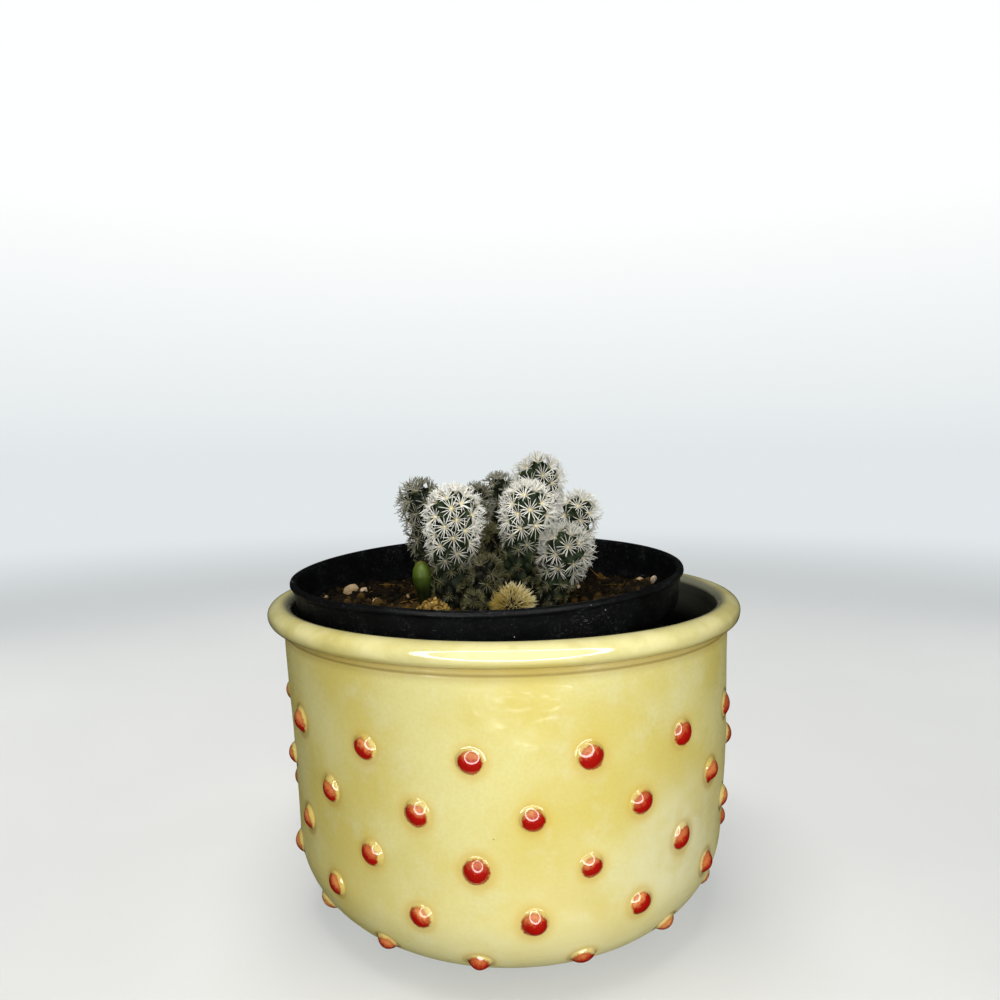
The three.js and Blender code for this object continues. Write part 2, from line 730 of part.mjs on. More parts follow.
// The room that the crumbs take, as a short upright stem
const crumbsStem = {
  footPoint: new THREE.Vector3(...CRUMBS.centre, CRUMBS.foot),
  topPoint: new THREE.Vector3(...CRUMBS.centre, -CRUMBS.foot),
  footRadius: CRUMBS.spread[0] + SOCKET_PLAY,
  radius: CRUMBS.spread[0] + SOCKET_PLAY,
};

const everyStem = [...stems, budStem, crumbsStem];

const plant = new THREE.Group();
plant.position.z = SOIL_LEVEL;
plant.add(namedMesh("potting_soil", buildSoil(everyStem), material(COLOURS.soil, 0.95)));
for (const stem of stems) {
  const colour = stem.name === "offset_straw" ? COLOURS.straw : COLOURS.head;
  const head = namedMesh(stem.name, buildHead(stem, everyStem), material(colour, 0.8));
  stemFrame(stem).decompose(head.position, head.quaternion, head.scale);
  plant.add(head);
}
const bud = namedMesh(BUD.name, buildBud(budStem), material(COLOURS.bud, 0.5));
stemFrame(budStem).decompose(bud.position, bud.quaternion, bud.scale);
plant.add(bud);
const crumbs = namedMesh(CRUMBS.name, buildCrumbs(), material(COLOURS.crumbs, 0.95));
crumbs.position.copy(crumbsStem.footPoint);
plant.add(crumbs);

// The nursery pot and everything in it share one tilt.
const nursery = new THREE.Group();
nursery.rotation.set(NURSERY_TILT_X, NURSERY_TILT_Y, 0);
const drop = new THREE.Vector3(0, 0, NURSERY_HEIGHT).applyEuler(nursery.rotation);
nursery.position.subVectors(NURSERY_RIM_CENTRE, drop);
nursery.add(namedMesh("nursery_pot", buildNurseryPot(), material(COLOURS.plastic, 0.45)));
nursery.add(plant);

const group = new THREE.Group();
group.add(namedMesh("cachepot", buildCachepot(), material(COLOURS.glaze, 0.15)));
group.add(nursery);

export default group;
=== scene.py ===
# A clump of thimble cactus in a black nursery pot, which stands askew inside a yellow glazed
# cachepot with rows of raised red dots. Shapes are worked out in millimetres, in the frame of the
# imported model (+X right, +Y back, +Z up, origin under the middle of the cachepot's mouth). Meshes,
# and places in materials, are in metres.
import math

import bmesh
import bpy
import numpy as np
from mathutils import Matrix, Vector, noise


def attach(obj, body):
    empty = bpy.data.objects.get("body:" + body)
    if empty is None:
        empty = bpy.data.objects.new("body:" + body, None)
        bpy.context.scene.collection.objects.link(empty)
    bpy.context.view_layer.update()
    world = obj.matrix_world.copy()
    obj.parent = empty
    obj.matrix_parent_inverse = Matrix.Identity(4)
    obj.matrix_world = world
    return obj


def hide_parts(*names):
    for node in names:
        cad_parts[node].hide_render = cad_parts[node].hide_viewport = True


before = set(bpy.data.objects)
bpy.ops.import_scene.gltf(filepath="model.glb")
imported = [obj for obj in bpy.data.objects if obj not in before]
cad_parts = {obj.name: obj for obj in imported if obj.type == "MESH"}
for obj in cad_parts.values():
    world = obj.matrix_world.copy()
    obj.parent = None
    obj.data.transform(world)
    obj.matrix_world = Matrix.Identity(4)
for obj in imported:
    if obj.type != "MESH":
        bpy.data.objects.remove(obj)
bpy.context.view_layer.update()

MM = 0.001
GOLDEN_ANGLE = math.pi * (3 - math.sqrt(5))
SEEDS = {"dots": 11, "soil": 23, "straw": 31, "crumbs": 41, "heads": 100}

# Camera, at the photograph's viewing angle
CAMERA_PLACE = (1.2, -237.0, 133.3)
CAMERA_PITCH = 3.85  # degrees down
CAMERA_ROLL = -0.68
CAMERA_LENS = 27.35
CAMERA_SHIFT = (-0.0068, 0.0059)

# Light: a ring with a faint disc in it, between the camera and the pot, which only reflections
# show, and soft lamps, each with its place, its size in metres and its power
RING_CENTRE = (16.0, -187.0, 152.0)
RING_RADIUS = 130.0
RING_TUBE = 14.0
RING_STRENGTH = 15.0
DISC_STRENGTH = 1.2
LAMPS = {
    "top_lamp": ((-60, -120, 900), 0.5, 4.4),
    "front_lamp": ((26, -420, 190), 0.12, 1.37),
    "low_lamp": ((52, -290, 10), 0.15, 0.55),
    "back_lamp": ((-40, 460, 300), 0.3, 0.8),
    "left_lamp": ((-470, 130, 230), 0.3, 0.8),
    "right_lamp": ((450, 190, 230), 0.3, 0.55),
}
LAMP_TARGET = (0, 0, 70)
WORLD_ABOVE = 0.06
WORLD_BELOW = 0.14
WORLD_IN_GLOSS = 0.025
HORIZON = (226, 232, 234)
FLOOR_REACH = 6.0  # metres from the middle to each side

# Cachepot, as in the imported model
GROOVE_Z = 84.2
GROOVE_RADIUS = 67.0
WALL_TAPER = 0.0326
WALL_THICKNESS = 4.8
FLOOR_THICKNESS = 5.4
INNER_FLARE = 2.4  # the inner wall opens out towards the rim
INNER_FLARE_START = 64.0
HEEL_HEIGHT = 23.9
HEEL_INSET = 25.5
RIM_RADIUS = 67.8
RIM_Z = 88.0
RIM_RADIAL = 3.7
RIM_VERTICAL = 3.1
FOOT_SHIFT = 1.2
LEAN_START = 40.0
POT_INSET = 0.16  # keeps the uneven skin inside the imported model's box
SIDE_SWELL = 1.2  # the wall bulges a little to the right
DOT_COLUMNS = 28
DOT_START = -7.4  # degrees
DOT_CROWDING = 0.05
DOT_DROPS = (21.5, 35.6, 48.5, 61.6, 73.8)  # below the groove
DOT_MARGIN = 6.6
DOT_SHRINK = 0.03  # from each row to the next below
DOT_RADIUS = 3.45
DOT_HEIGHT = 2.0
DOT_SOFTNESS = 0.16  # height over which a dot's side turns into the wall
REFLECTION_SPOT = (0.044, -0.048, 0.033)  # painted reflection: a paler spot low on the right
CELL = 10  # steps along each side of a cell that holds a dot
EDGE = 4 * CELL
DOT_EASING = (0.3, 0.6, 0.85)  # rings between the cell's edge and the first of the rounds
DOT_ROUNDS = (1.25, 1.17, 1.1, 1.05, 1.01, 0.97, 0.93, 0.87, 0.8, 0.72, 0.63, 0.52, 0.4, 0.27,
              0.13)
OFF_DOTS = (9, 9, 0)  # across, up and sort, where there is no dot

# Nursery pot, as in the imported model
NURSERY_HEIGHT = 91.3
NURSERY_RADIUS = 60.0
NURSERY_BASE_RADIUS = 41.0
NURSERY_WALL = 1.2
COLLAR_HEIGHT = 10.5
COLLAR_STEP = 1.5
COLLAR_SHOULDER = 1.2
COLLAR_DRAFT = 0.9
LIP_HEIGHT = 1.8
LIP_DEPTH = 0.9
NURSERY_RIM_CENTRE = (-4.9, 0.0, 99.2)
NURSERY_TILT_X = 0.044
NURSERY_TILT_Y = -0.024
DRAIN_HOLES = 6
DRAIN_HOLE_RADIUS = 4.5
DRAIN_CIRCLE = 29.0
DRAIN_CUT = 8.0  # depth of the tool that cuts a hole, half of it above the base's underside
NURSERY_STEPS = 216
SCUFF_PLACE = (0.022, -0.055, 0.0925)  # a scuffed spot on the front of the collar

SOIL_LEVEL = 78.3  # above the nursery pot's base
SOIL_RADIUS = 55.6
SOIL_RINGS = 96
SOIL_STEPS = 360
SOIL_HEAPS = (((49, 4), (12, 18), 3.4), ((-51, 9), (8, 13), 3.0))  # middle, reach and height
GOLDEN_LEFT = ((-27, -17), (20, 16))  # middle and reach of the patches where the soil is golden
GOLDEN_RIGHT = ((34, -6), (15, 13))
GOLDEN_MOST = 0.85
SOIL_CRUMBS = 1150
SOIL_FIBRES = 150
PALE_CHIPS = (  # places on the soil, and sizes
    (-52.4, 2.5, 1.7), (-46.7, 13, 3.0), (-43, 18, 1.4), (-37, 4, 1.6), (-33, -13, 1.3),
    (-40.5, -12, 1.2), (-28, 16, 1.1), (49.6, 11.5, 1.3), (53.4, 9, 1.9), (30, 20, 1.0),
    (36, -17, 1.1), (-8, -26, 0.7), (22, -27, 0.8), (-31, 24, 1.2),
)

# Heads of the clump, from the middle of the soil's surface, along the nursery pot's axes: top of
# the stem's line, radius there, foot, radius there, and how dull and grey the spines are all over,
# which on the low and back heads is painted shade
FOOT_Z = -3.0
HEADS = {
    "head_front_left": ((-9.9, -3.3, 29.3), 8.8, (-13.0, -3.2), 3.9, 0.0),
    "head_front_middle": ((13.0, -2.7, 30.2), 8.2, (7.0, -0.2), 3.7, 0.0),
    "head_front_right": ((23.8, -10.8, 18.1), 7.7, (16.5, -6.8), 3.1, 0.4),
    "head_top": ((17.2, 14.2, 37.4), 8.2, (14.2, 12.6), 4.6, 0.2),
    "head_back_left": ((-21.9, 12.3, 32.1), 6.6, (-17.0, 8.3), 3.4, 0.72),
    "head_back_inner": ((-3.2, 12.4, 32.4), 4.6, (-6.0, 8.8), 3.0, 0.8),
    "head_back_middle": ((4.0, 20.5, 34.3), 5.3, (3.0, 15.8), 3.2, 0.7),
    "head_back_right": ((29.2, 9.6, 26.3), 6.9, (21.5, 7.2), 3.2, 0.15),
    "head_low_front": ((-0.5, -8.5, 12.2), 4.6, (-2.0, -8.2), 3.2, 0.95),
    "head_low_inner": ((1.8, 4.7, 20.2), 4.0, (1.0, 5.3), 2.8, 1.0),
    "offset_small": ((-4.1, -14.9, 5.1), 2.4, (-5.5, -15.2), 2.2, 1.0),
}
AREOLE_SPACING = 4.85
OFFSET_SPACING = 3.4
TUBERCLE_DEPTH = 1.9
SPINE_LENGTH = 4.95
SPINE_RADIUS = 0.172
SPINES = 15
BODY_SHARE = 0.84  # of a head's radius; the spines stand out from there
CROWN_SPACING = 0.56  # of the usual spacing, at the apex
CROWN_REACH = 8.5
STEM_THINNING = -0.2
THINNING_START = 0.45
WORN_FROM_USUAL = 0.36  # share of a head's length where its spines grow dull
WORN_FROM = {"head_front_left": 0.39, "head_front_middle": 0.29}
WORN_OVER = 0.3
FRESH_REACH = 4.5  # from the apex, where spines are more, shorter and more upright
PLACE_JITTER = 0.16  # of the spacing
SKIN_STEP = 0.5  # between rings of a head's skin
SKIN_COLUMNS = 90
OFFSET_SKIN_COLUMNS = 48
STRAW_TOP = (6.9, -16.9, 3.1)
STRAW_CORE = 4.0  # radius of the ball that the bristles stand on
STRAW_PALE_SIDE = (0.75, -0.2, 0.62)
STRAW_BRISTLES = 760
BUD_FOOT = (-20.0, -3.0)
BUD_TIP = (-20.6, -3.4)
BUD_HEIGHT = 15.5
BUD_RADIUS = 3.0
CRUMBS_CENTRE = (-16.5, -13.5)
CRUMBS_SPREAD = (7.0, 4.2, 7.4)  # half as wide and as deep as the heap, and as high
CRUMBS = 640


# Numbers and places

def smoothstep(low, high, value):
    share = np.clip((value - low) / (high - low), 0, 1)
    return share * share * (3 - 2 * share)


def wobble(points, wavelength, seed=0):
    """Smooth noise, from about -1 to 1, at each point."""
    offset = Vector((seed * 3.7, seed * 1.3, seed * 5.1))
    return np.array([noise.noise(Vector(point) / wavelength + offset) for point in points])


def unit(vectors):
    return vectors / np.maximum(np.linalg.norm(vectors, axis=-1, keepdims=True), 1e-9)


def round_points(radius, angle, z):
    """Points at an angle from the front of the pot, growing to the right."""
    radius, angle, z = np.broadcast_arrays(radius, angle, z)
    return np.stack([radius * np.sin(angle), -radius * np.cos(angle), z], axis=-1)


def turn_to(axis):
    """The turn that brings +Z to an axis."""
    return np.array(Vector((0, 0, 1)).rotation_difference(Vector(axis)).to_matrix())


nursery_turn = Matrix.Rotation(NURSERY_TILT_X, 3, "X") @ Matrix.Rotation(NURSERY_TILT_Y, 3, "Y")
nursery_turn = np.array(nursery_turn)
nursery_base = np.array(NURSERY_RIM_CENTRE) - nursery_turn @ (0, 0, NURSERY_HEIGHT)
soil_middle = nursery_base + nursery_turn @ (0, 0, SOIL_LEVEL)


def from_nursery(points):
    return points @ nursery_turn.T + nursery_base


def from_soil(points):
    """From the plant's frame, whose origin is the middle of the soil's surface, to the row's."""
    return points @ nursery_turn.T + soil_middle


# Meshes

class Net:
    """Points in millimetres, the faces that join them, and named values for each point."""

    def __init__(self):
        self.points = []
        self.faces = []
        self.values = {}
        self.size = 0

    def add(self, points, faces, **values):
        points = np.asarray(points, float).reshape(-1, 3)
        for block in faces:
            self.faces.extend((np.asarray(block) + self.size).tolist())
        for name, value in values.items():
            value = np.broadcast_to(value, len(points))
            self.values.setdefault(name, []).append(value)
        self.points.append(points)
        self.size += len(points)
        return self

    def piece(self, name, material, node, slot):
        mesh = bpy.data.meshes.new(name)
        points = np.concatenate(self.points) * MM
        mesh.from_pydata(points.tolist(), [], self.faces)
        for key, parts in self.values.items():
            attribute = mesh.attributes.new(key, "FLOAT", "POINT")
            attribute.data.foreach_set("value", np.concatenate(parts).astype(np.float32))
        mesh.materials.append(material)
        mesh.shade_smooth()
        piece = bpy.data.objects.new(name, mesh)
        bpy.context.scene.collection.objects.link(piece)
        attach(piece, "root")
        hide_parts(node)
        return piece


def band_faces(rings, count):
    """Quads between rings of count points each, numbered from the first ring."""
    ring, step = np.meshgrid(np.arange(rings - 1), np.arange(count), indexing="ij")
    after = (step + 1) % count
    low = ring * count
    quads = np.stack([low + step, low + after, low + count + after, low + count + step], axis=-1)
    return quads.reshape(-1, 4)


def fan_faces(centre, ring, outward):
    """Triangles from a ring of points to a centre."""
    after = np.roll(ring, -1)
    middle = np.full(len(ring), centre)
    if outward:
        return np.stack([ring, after, middle], axis=-1)
    return np.stack([middle, after, ring], axis=-1)


def closed_faces(rings, count):
    """Faces of rings of points and of their two ends, whose points come after the rings."""
    ring = np.arange(count)
    size = rings * count
    return [
        band_faces(rings, count),
        fan_faces(size, ring, False),
        fan_faces(size + 1, size - count + ring, True),
    ]


def repeated(faces, number, size):
    """The same faces for each of a number of shapes that have size points each."""
    faces = np.asarray(faces)
    starts = np.arange(number)[:, None, None] * size
    return (faces[None] + starts).reshape(-1, faces.shape[1])


def full_turn(count):
    return np.linspace(-math.pi, math.pi, count, endpoint=False)


def lathe(profile, angles):
    """Points and faces of a profile of (radius, height), with both ends on the axis, turned."""
    rings = [round_points(radius, angles, z) for radius, z in profile[1:-1]]
    ends = [(0, 0, profile[0][1]), (0, 0, profile[-1][1])]
    points = np.concatenate(rings + [np.array(ends, float)])
    return points, closed_faces(len(rings), len(angles))


def arc(centre, radii, start, end, steps):
    """Points of an ellipse's arc in a profile. Angles are in degrees from straight outward."""
    turns = np.radians(np.linspace(start, end, steps + 1))
    (x, z), (wide, high) = centre, radii
    return [(x + wide * math.cos(turn), z + high * math.sin(turn)) for turn in turns]


# Materials

def linear(colour):
    """A colour given as it looks on a screen, from 0 to 255, in linear light."""
    shares = [value / 255 for value in colour]
    return (*(v / 12.92 if v <= 0.04045 else ((v + 0.055) / 1.055) ** 2.4 for v in shares), 1.0)


class Nodes:
    """Shader nodes, made one after the other. Colours are given as they look on a screen."""

    def __init__(self, owner):
        owner.use_nodes = True
        self.tree = owner.node_tree

    def add(self, kind, inputs=None, **settings):
        node = self.tree.nodes.new("ShaderNode" + kind)
        for name, value in settings.items():
            setattr(node, name, value)
        self.fill(node, inputs or {})
        return node

    def fill(self, node, inputs):
        for name, value in inputs.items():
            socket = node.inputs[name]
            if isinstance(value, bpy.types.NodeSocket):
                self.tree.links.new(value, socket)
            else:
                socket.default_value = linear(value) if socket.type == "RGBA" else value

    def split(self, vector):
        return self.add("SeparateXYZ", {0: vector}).outputs

    def ramp(self, share, *stops):
        """Colours by share, from stops of a position and a colour."""
        node = self.add("ValToRGB", {"Fac": share})
        elements = node.color_ramp.elements
        for element, (position, colour) in ((elements[0], stops[0]), (elements[1], stops[-1])):
            element.position = position
            element.color = linear(colour)
        for position, colour in stops[1:-1]:
            elements.new(position).color = linear(colour)
        return node.outputs["Color"]


class Paint(Nodes):
    """A material, whose colour is laid on in coats."""

    def __init__(self, name, colour):
        self.material = bpy.data.materials.new(name)
        super().__init__(self.material)
        self.shader = self.tree.nodes["Principled BSDF"]
        self.place = self.add("TexCoord").outputs["Object"]
        self.colour = colour

    def finish(self, **inputs):
        inputs = {name.replace("_", " "): value for name, value in inputs.items()}
        self.fill(self.shader, {"Base Color": self.colour, **inputs})
        return self.material

    def coat(self, share, colour):
        self.colour = self.mix(share, self.colour, colour)

    def mix(self, share, first, second):
        node = self.add("Mix", data_type="RGBA")
        self.fill(node, {"Factor": share, 6: first, 7: second})
        return node.outputs[2]

    def value(self, name):
        return self.add("Attribute", attribute_name=name).outputs["Fac"]

    def math(self, operation, first, second=0.0, third=0.0):
        return self.add("Math", {0: first, 1: second, 2: third}, operation=operation).outputs[0]

    def times(self, first, second):
        return self.math("MULTIPLY", first, second)

    def plus(self, base, value, factor):
        return self.math("MULTIPLY_ADD", value, factor, base)

    def length(self, x, y):
        return self.math("POWER", self.math("ADD", self.times(x, x), self.times(y, y)), 0.5)

    def between(self, value, low, high, to_low=0.0, to_high=1.0):
        """The value's share of the way from low to high, smoothed, as a number."""
        inputs = {"Value": value, 1: low, 2: high, 3: to_low, 4: to_high}
        return self.add("MapRange", inputs, interpolation_type="SMOOTHSTEP").outputs[0]

    def noise(self, size_mm, detail=3.0, roughness=0.5, stretch=None):
        place = self.place
        if stretch:
            place = self.add("VectorMath", {0: place, 1: stretch}, operation="MULTIPLY").outputs[0]
        inputs = {"Vector": place, "Scale": 1 / (size_mm * MM)}
        inputs.update({"Detail": detail, "Roughness": roughness})
        return self.add("TexNoise", inputs).outputs["Fac"]

    def patches(self, noise, low, high, to_low=0.0, to_high=1.0):
        """Patches of noise, which is given by its size, detail and roughness."""
        return self.between(self.noise(*noise), low, high, to_low, to_high)

    def near(self, place, low, high, most):
        """The most up to a first distance from a place, and nothing from a second one on."""
        away = self.add("VectorMath", {0: self.place, 1: place}, operation="DISTANCE")
        return self.between(away.outputs["Value"], low, high, most, 0)

    def specks(self, size_mm, low, high, most, where):
        """Spots, one to a cell of a size. Their reach is counted in that size."""
        cells = self.add("TexVoronoi", {"Vector": self.place, "Scale": 1 / (size_mm * MM)})
        return self.times(self.between(cells.outputs["Distance"], low, high, most, 0), where)

    def bump(self, height, depth_mm, strength=1.0, normal=None):
        inputs = {"Height": height, "Distance": depth_mm * MM, "Strength": strength}
        if normal:
            inputs["Normal"] = normal
        return self.add("Bump", inputs).outputs["Normal"]


def glaze_material():
    """Pale yellow glaze, paler along the top of the rim, with painted shade under the rim and
    inside, a painted reflection low on the right, and red-orange dots.
    """
    paint = Paint("yellow_glaze", (199, 192, 130))
    x, y, z = paint.split(paint.place)
    radius = paint.length(x, y)

    paint.coat(paint.patches((26, 3, 0.55), 0.36, 0.66), (192, 179, 99))
    paint.coat(paint.patches((60, 2), 0.5, 0.72, 0, 0.35), (184, 164, 80))
    paint.coat(paint.patches((9, 4, 0.6), 0.5, 0.72, 0, 0.5), (199, 194, 145))
    paint.coat(paint.patches((0.9, 2), 0.3, 0.7, 0, 0.16), (180, 156, 77))

    outside = paint.between(radius, 0.0615, 0.0645)
    # Painted shade: an olive-brown band under the rim's bead, down to the groove.
    under_rim_shade = paint.times(paint.between(z, 0.0800, 0.0840), paint.between(z, 0.0850, 0.0868, 1, 0))
    paint.coat(paint.times(paint.times(under_rim_shade, outside), 0.6), (142, 120, 62))
    # Painted shadow: a dark brown line along the groove under the rim.
    line = paint.math("ABSOLUTE", paint.math("SUBTRACT", z, (GROOVE_Z - 1.4) * MM))
    paint.coat(paint.times(paint.between(line, 0.0001, 0.0005, 0.55, 0), outside), (112, 92, 42))
    # Paler patches along the top of the rim.
    paler_rim_top = paint.patches((13, 3), 0.38, 0.62, 0.15, 0.7)
    paint.coat(paint.times(paint.between(z, 0.0858, 0.0878), paler_rim_top), (220, 213, 158))
    thick = paint.patches((7, 3, 0.6), 0.45, 0.7, 0, 0.25)
    paint.coat(paint.times(paint.between(z, 0.0862, 0.0885), thick), (170, 158, 92))
    # Painted reflection: paler low on the wall, most towards the right.
    pale = paint.times(paint.between(z, 0.008, 0.05, 0.55, 0),
                       paint.patches((21, 3), 0.3, 0.6, 0.3, 1))
    paint.coat(paint.times(pale, paint.between(x, -0.05, 0.02, 0.25, 1)), (212, 206, 160))
    # Painted reflection: a paler spot low on the right.
    painted_reflection = paint.near(REFLECTION_SPOT, 0.006, 0.026, 0.75)
    paint.coat(paint.times(painted_reflection, paint.patches((8, 3), 0.3, 0.6, 0.4, 1)), (208, 205, 166))
    # Grey where the glaze ends on the rim's inner crest, widened towards the back as painted shade.
    inward = paint.plus(radius, paint.between(y, 0.0, 0.05), -0.0014)
    inner_edge_and_shade = paint.times(paint.between(inward, 0.0652, 0.0682, 0.9, 0),
                             paint.between(z, 0.0865, 0.0885))
    paint.coat(inner_edge_and_shade, (104, 106, 94))
    # Painted shade inside the pot: near black deep down, dark grey near the rim.
    painted_inside_shade = paint.mix(paint.between(z, 0.076, 0.0895), (8, 8, 7), (70, 71, 62))
    paint.coat(paint.value("inside"), painted_inside_shade)
    paint.coat(paint.specks(5.2, 0.028, 0.045, 0.75, paint.patches((11, 1), 0.5, 0.6)),
               (120, 84, 40))

    dot = paint.add("Attribute", attribute_name="dot").outputs["Vector"]
    across, up, sort = paint.split(dot)
    away = paint.length(across, up)
    paint.coat(paint.between(away, 1.0, 2.1, 0.5, 0), (190, 156, 64))
    ragged = paint.plus(away, paint.noise(2.2, 2), 0.3)
    ragged = paint.plus(ragged, paint.noise(0.8, 3, 0.7), 0.3)
    # Peach where the red glaze is thin, set on the side of each dot that faces the front and up,
    # where the gloss highlight falls: partly thin glaze, partly painted highlight.
    side = paint.times(across, paint.between(x, -0.045, 0.045, -0.55, 0.55))
    lean = paint.math("SUBTRACT", side, paint.times(up, 0.7))
    thin = paint.between(paint.plus(lean, paint.noise(1.1, 4, 0.75), 1.0), -0.15, 0.42, 1, 0)
    red = paint.mix(paint.times(thin, sort), (150, 10, 0), (204, 136, 76))
    red = paint.mix(paint.times(paint.between(ragged, 1.06, 1.26), 0.5), red, (116, 14, 0))
    paint.coat(paint.between(ragged, 1.18, 1.36, 1, 0), red)
    paint.coat(paint.between(z, 0.0002, 0.0008, 1, 0), (205, 186, 150))

    off_dots = paint.between(away, 1.3, 2.0)
    skin = paint.bump(paint.noise(9, 1), 0.08, off_dots)
    peel = paint.times(paint.between(z, 0.080, 0.084, 1, 0.1), off_dots)
    skin = paint.bump(paint.noise(2.6, 1), 0.03, peel, skin)
    rough = paint.plus(paint.between(z, 0.0002, 0.0008, 0.8, 0.5), paint.noise(4, 3), 0.12)
    gloss = paint.math("MAXIMUM", paint.between(z, 0.0848, 0.0856),
                       paint.between(away, 1.35, 1.6, 1, 0))
    sheen = paint.patches((2.2, 3, 0.7, (0.5, 0.5, 1.6)), 0.5, 0.75, 0.03, 0.4)
    return paint.finish(Roughness=rough, Normal=skin, Specular_IOR_Level=0.03,
                        Coat_Weight=paint.math("MAXIMUM", gloss, sheen), Coat_Roughness=0.03)


def plastic_material():
    """Thin black moulded plastic, with dust, fine scratches, a dull satin skin, and grey smudges
    that are partly dust and partly painted satin sheen.
    """
    paint = Paint("black_plastic", (2, 2, 2))
    grain = paint.noise(0.7, 3, 0.65)
    paint.coat(paint.patches((14, 4, 0.6), 0.35, 0.7), (6, 7, 8))
    # Grey grainy smudges: partly dust, partly painted satin sheen.
    smudge_and_sheen = paint.patches((9, 4, 0.65), 0.42, 0.7, 0.15, 1)
    paint.coat(paint.times(smudge_and_sheen, paint.between(grain, 0.5, 0.74)), (58, 59, 60))
    dust = paint.specks(3.1, 0.035, 0.07, 1, paint.patches((6, 2), 0.52, 0.6))
    paint.coat(dust, (190, 190, 180))
    dust = paint.specks(1.3, 0.06, 0.11, 0.6, paint.patches((5, 2), 0.5, 0.62))
    paint.coat(dust, (120, 120, 114))
    streaks = paint.noise(1.2, 3, 0.7, (0.25, 0.25, 4))
    scratch = paint.times(paint.between(streaks, 0.66, 0.72, 0, 0.6),
                          paint.patches((17, 2), 0.5, 0.62))
    scuffed = paint.times(paint.near(SCUFF_PLACE, 0.002, 0.006, 0.8),
                          paint.patches((0.8, 4, 0.75, (0.6, 0.6, 2)), 0.58, 0.68))
    paint.coat(paint.math("MAXIMUM", scratch, scuffed), (120, 122, 122))
    rough = paint.math("MAXIMUM", paint.patches((5, 4, 0.7), 0.3, 0.7, 0.34, 0.52), dust)
    skin = paint.bump(streaks, 0.02, 0.4, paint.bump(grain, 0.03, 0.6))
    return paint.finish(Roughness=rough, Normal=skin, Specular_IOR_Level=0.1)


def soil_material():
    """Dark peat: tone goes from black-brown through golden brown to pale bits."""
    paint = Paint("soil", None)
    tone = paint.plus(paint.value("tone"), paint.noise(1.1, 5, 0.7), 0.5)
    tone = paint.math("SUBTRACT", tone, 0.25)
    paint.colour = paint.ramp(tone, (0.0, (8, 6, 3)), (0.25, (22, 16, 6)), (0.5, (84, 62, 22)),
                              (0.72, (150, 116, 44)), (0.86, (176, 152, 118)),
                              (1.0, (214, 200, 178)))
    rough = paint.bump(paint.noise(0.5, 5, 0.75), 0.35)
    return paint.finish(Roughness=0.92, Normal=rough, Specular_IOR_Level=0.1)


def flesh_material():
    """Dark green tubercles, with painted shade in the valleys between them, and corky brown low on
    the old stems.
    """
    paint = Paint("cactus_flesh", (40, 56, 28))
    valley = paint.value("valley")
    age = paint.plus(paint.value("age"), paint.noise(6, 3), 0.5)
    # Painted shade: darker in the valleys between the tubercles, paler at their tips.
    paint.coat(valley, (6, 12, 5))
    paint.coat(paint.patches((2.2, 4, 0.6), 0.4, 0.7, 0, 0.4), (54, 68, 40))
    # The cork is darker in the valleys too: painted shade.
    cork = paint.mix(valley, (28, 28, 15), (5, 5, 2))
    paint.coat(paint.between(age, 0.7, 1.15), cork)
    return paint.finish(Roughness=paint.patches((1.5, 3), 0.3, 0.7, 0.42, 0.62),
                        Normal=paint.bump(paint.noise(0.35, 3, 0.6), 0.05),
                        Specular_IOR_Level=0.15)


def spine_material(name, base, middle, tip, old):
    """Spines, from their wool-covered base to the tip. Old ones turn brown and dusty; the same dark
    old colour is painted shade on heads deep in the clump.
    """
    paint = Paint(name, base)
    along = paint.value("along")
    paint.coat(paint.between(along, 0.0, 0.3), middle)
    paint.coat(paint.between(along, 0.5, 1.0), tip)
    paint.coat(paint.times(paint.value("tint"), 0.3), base)
    paint.coat(paint.value("age"), old)
    paint.coat(paint.patches((0.6, 3, 0.7), 0.5, 0.8, 0, 0.15), (150, 138, 110))
    fibre = paint.bump(paint.noise(0.12, 2), 0.02)
    return paint.finish(Roughness=0.5, Normal=fibre, Specular_IOR_Level=0.2)


def bud_material():
    """A smooth waxy green bud, yellow-green above and dark at the foot."""
    paint = Paint("green_bud", (7, 12, 2))
    height = paint.value("height")
    paint.coat(paint.between(height, 0.45, 0.9), (72, 90, 18))
    paint.coat(paint.patches((2.6, 3), 0.45, 0.7, 0, 0.6), (30, 46, 9))
    paint.coat(paint.between(height, 0.93, 1.0, 0, 0.6), (112, 92, 40))
    skin = paint.bump(paint.noise(0.8, 3), 0.06)
    return paint.finish(Roughness=0.38, Normal=skin, Specular_IOR_Level=0.25)


def crumbs_material():
    """Dry, granular, golden bits, dark brown in the hollows."""
    paint = Paint("dry_crumbs", (40, 27, 8))
    tone = paint.plus(paint.value("tone"), paint.noise(0.6, 4, 0.7), 0.6)
    paint.coat(paint.between(tone, 0.4, 1.1), (166, 132, 60))
    paint.coat(paint.between(tone, 1.15, 1.4), (216, 196, 136))
    rough = paint.bump(paint.noise(0.35, 4, 0.75), 0.25)
    return paint.finish(Roughness=0.85, Normal=rough, Specular_IOR_Level=0.1)


# Cachepot

def wall_radius(z):
    return GROOVE_RADIUS - POT_INSET - WALL_TAPER * (GROOVE_Z - z)


FOOT_RADIUS = wall_radius(HEEL_HEIGHT) - HEEL_INSET


def pot_skin(z):
    """Radius and downward slope of the outer skin at each height."""
    z = np.asarray(z, float)
    turn = np.arccos(np.clip(1 - z / HEEL_HEIGHT, 0, 1))
    heel = FOOT_RADIUS + HEEL_INSET * np.sin(turn)
    slope = np.arctan2(np.cos(turn) / HEEL_HEIGHT, np.sin(turn) / HEEL_INSET)
    straight = z >= HEEL_HEIGHT
    return np.where(straight, wall_radius(z), heel), np.where(straight, 0, slope)


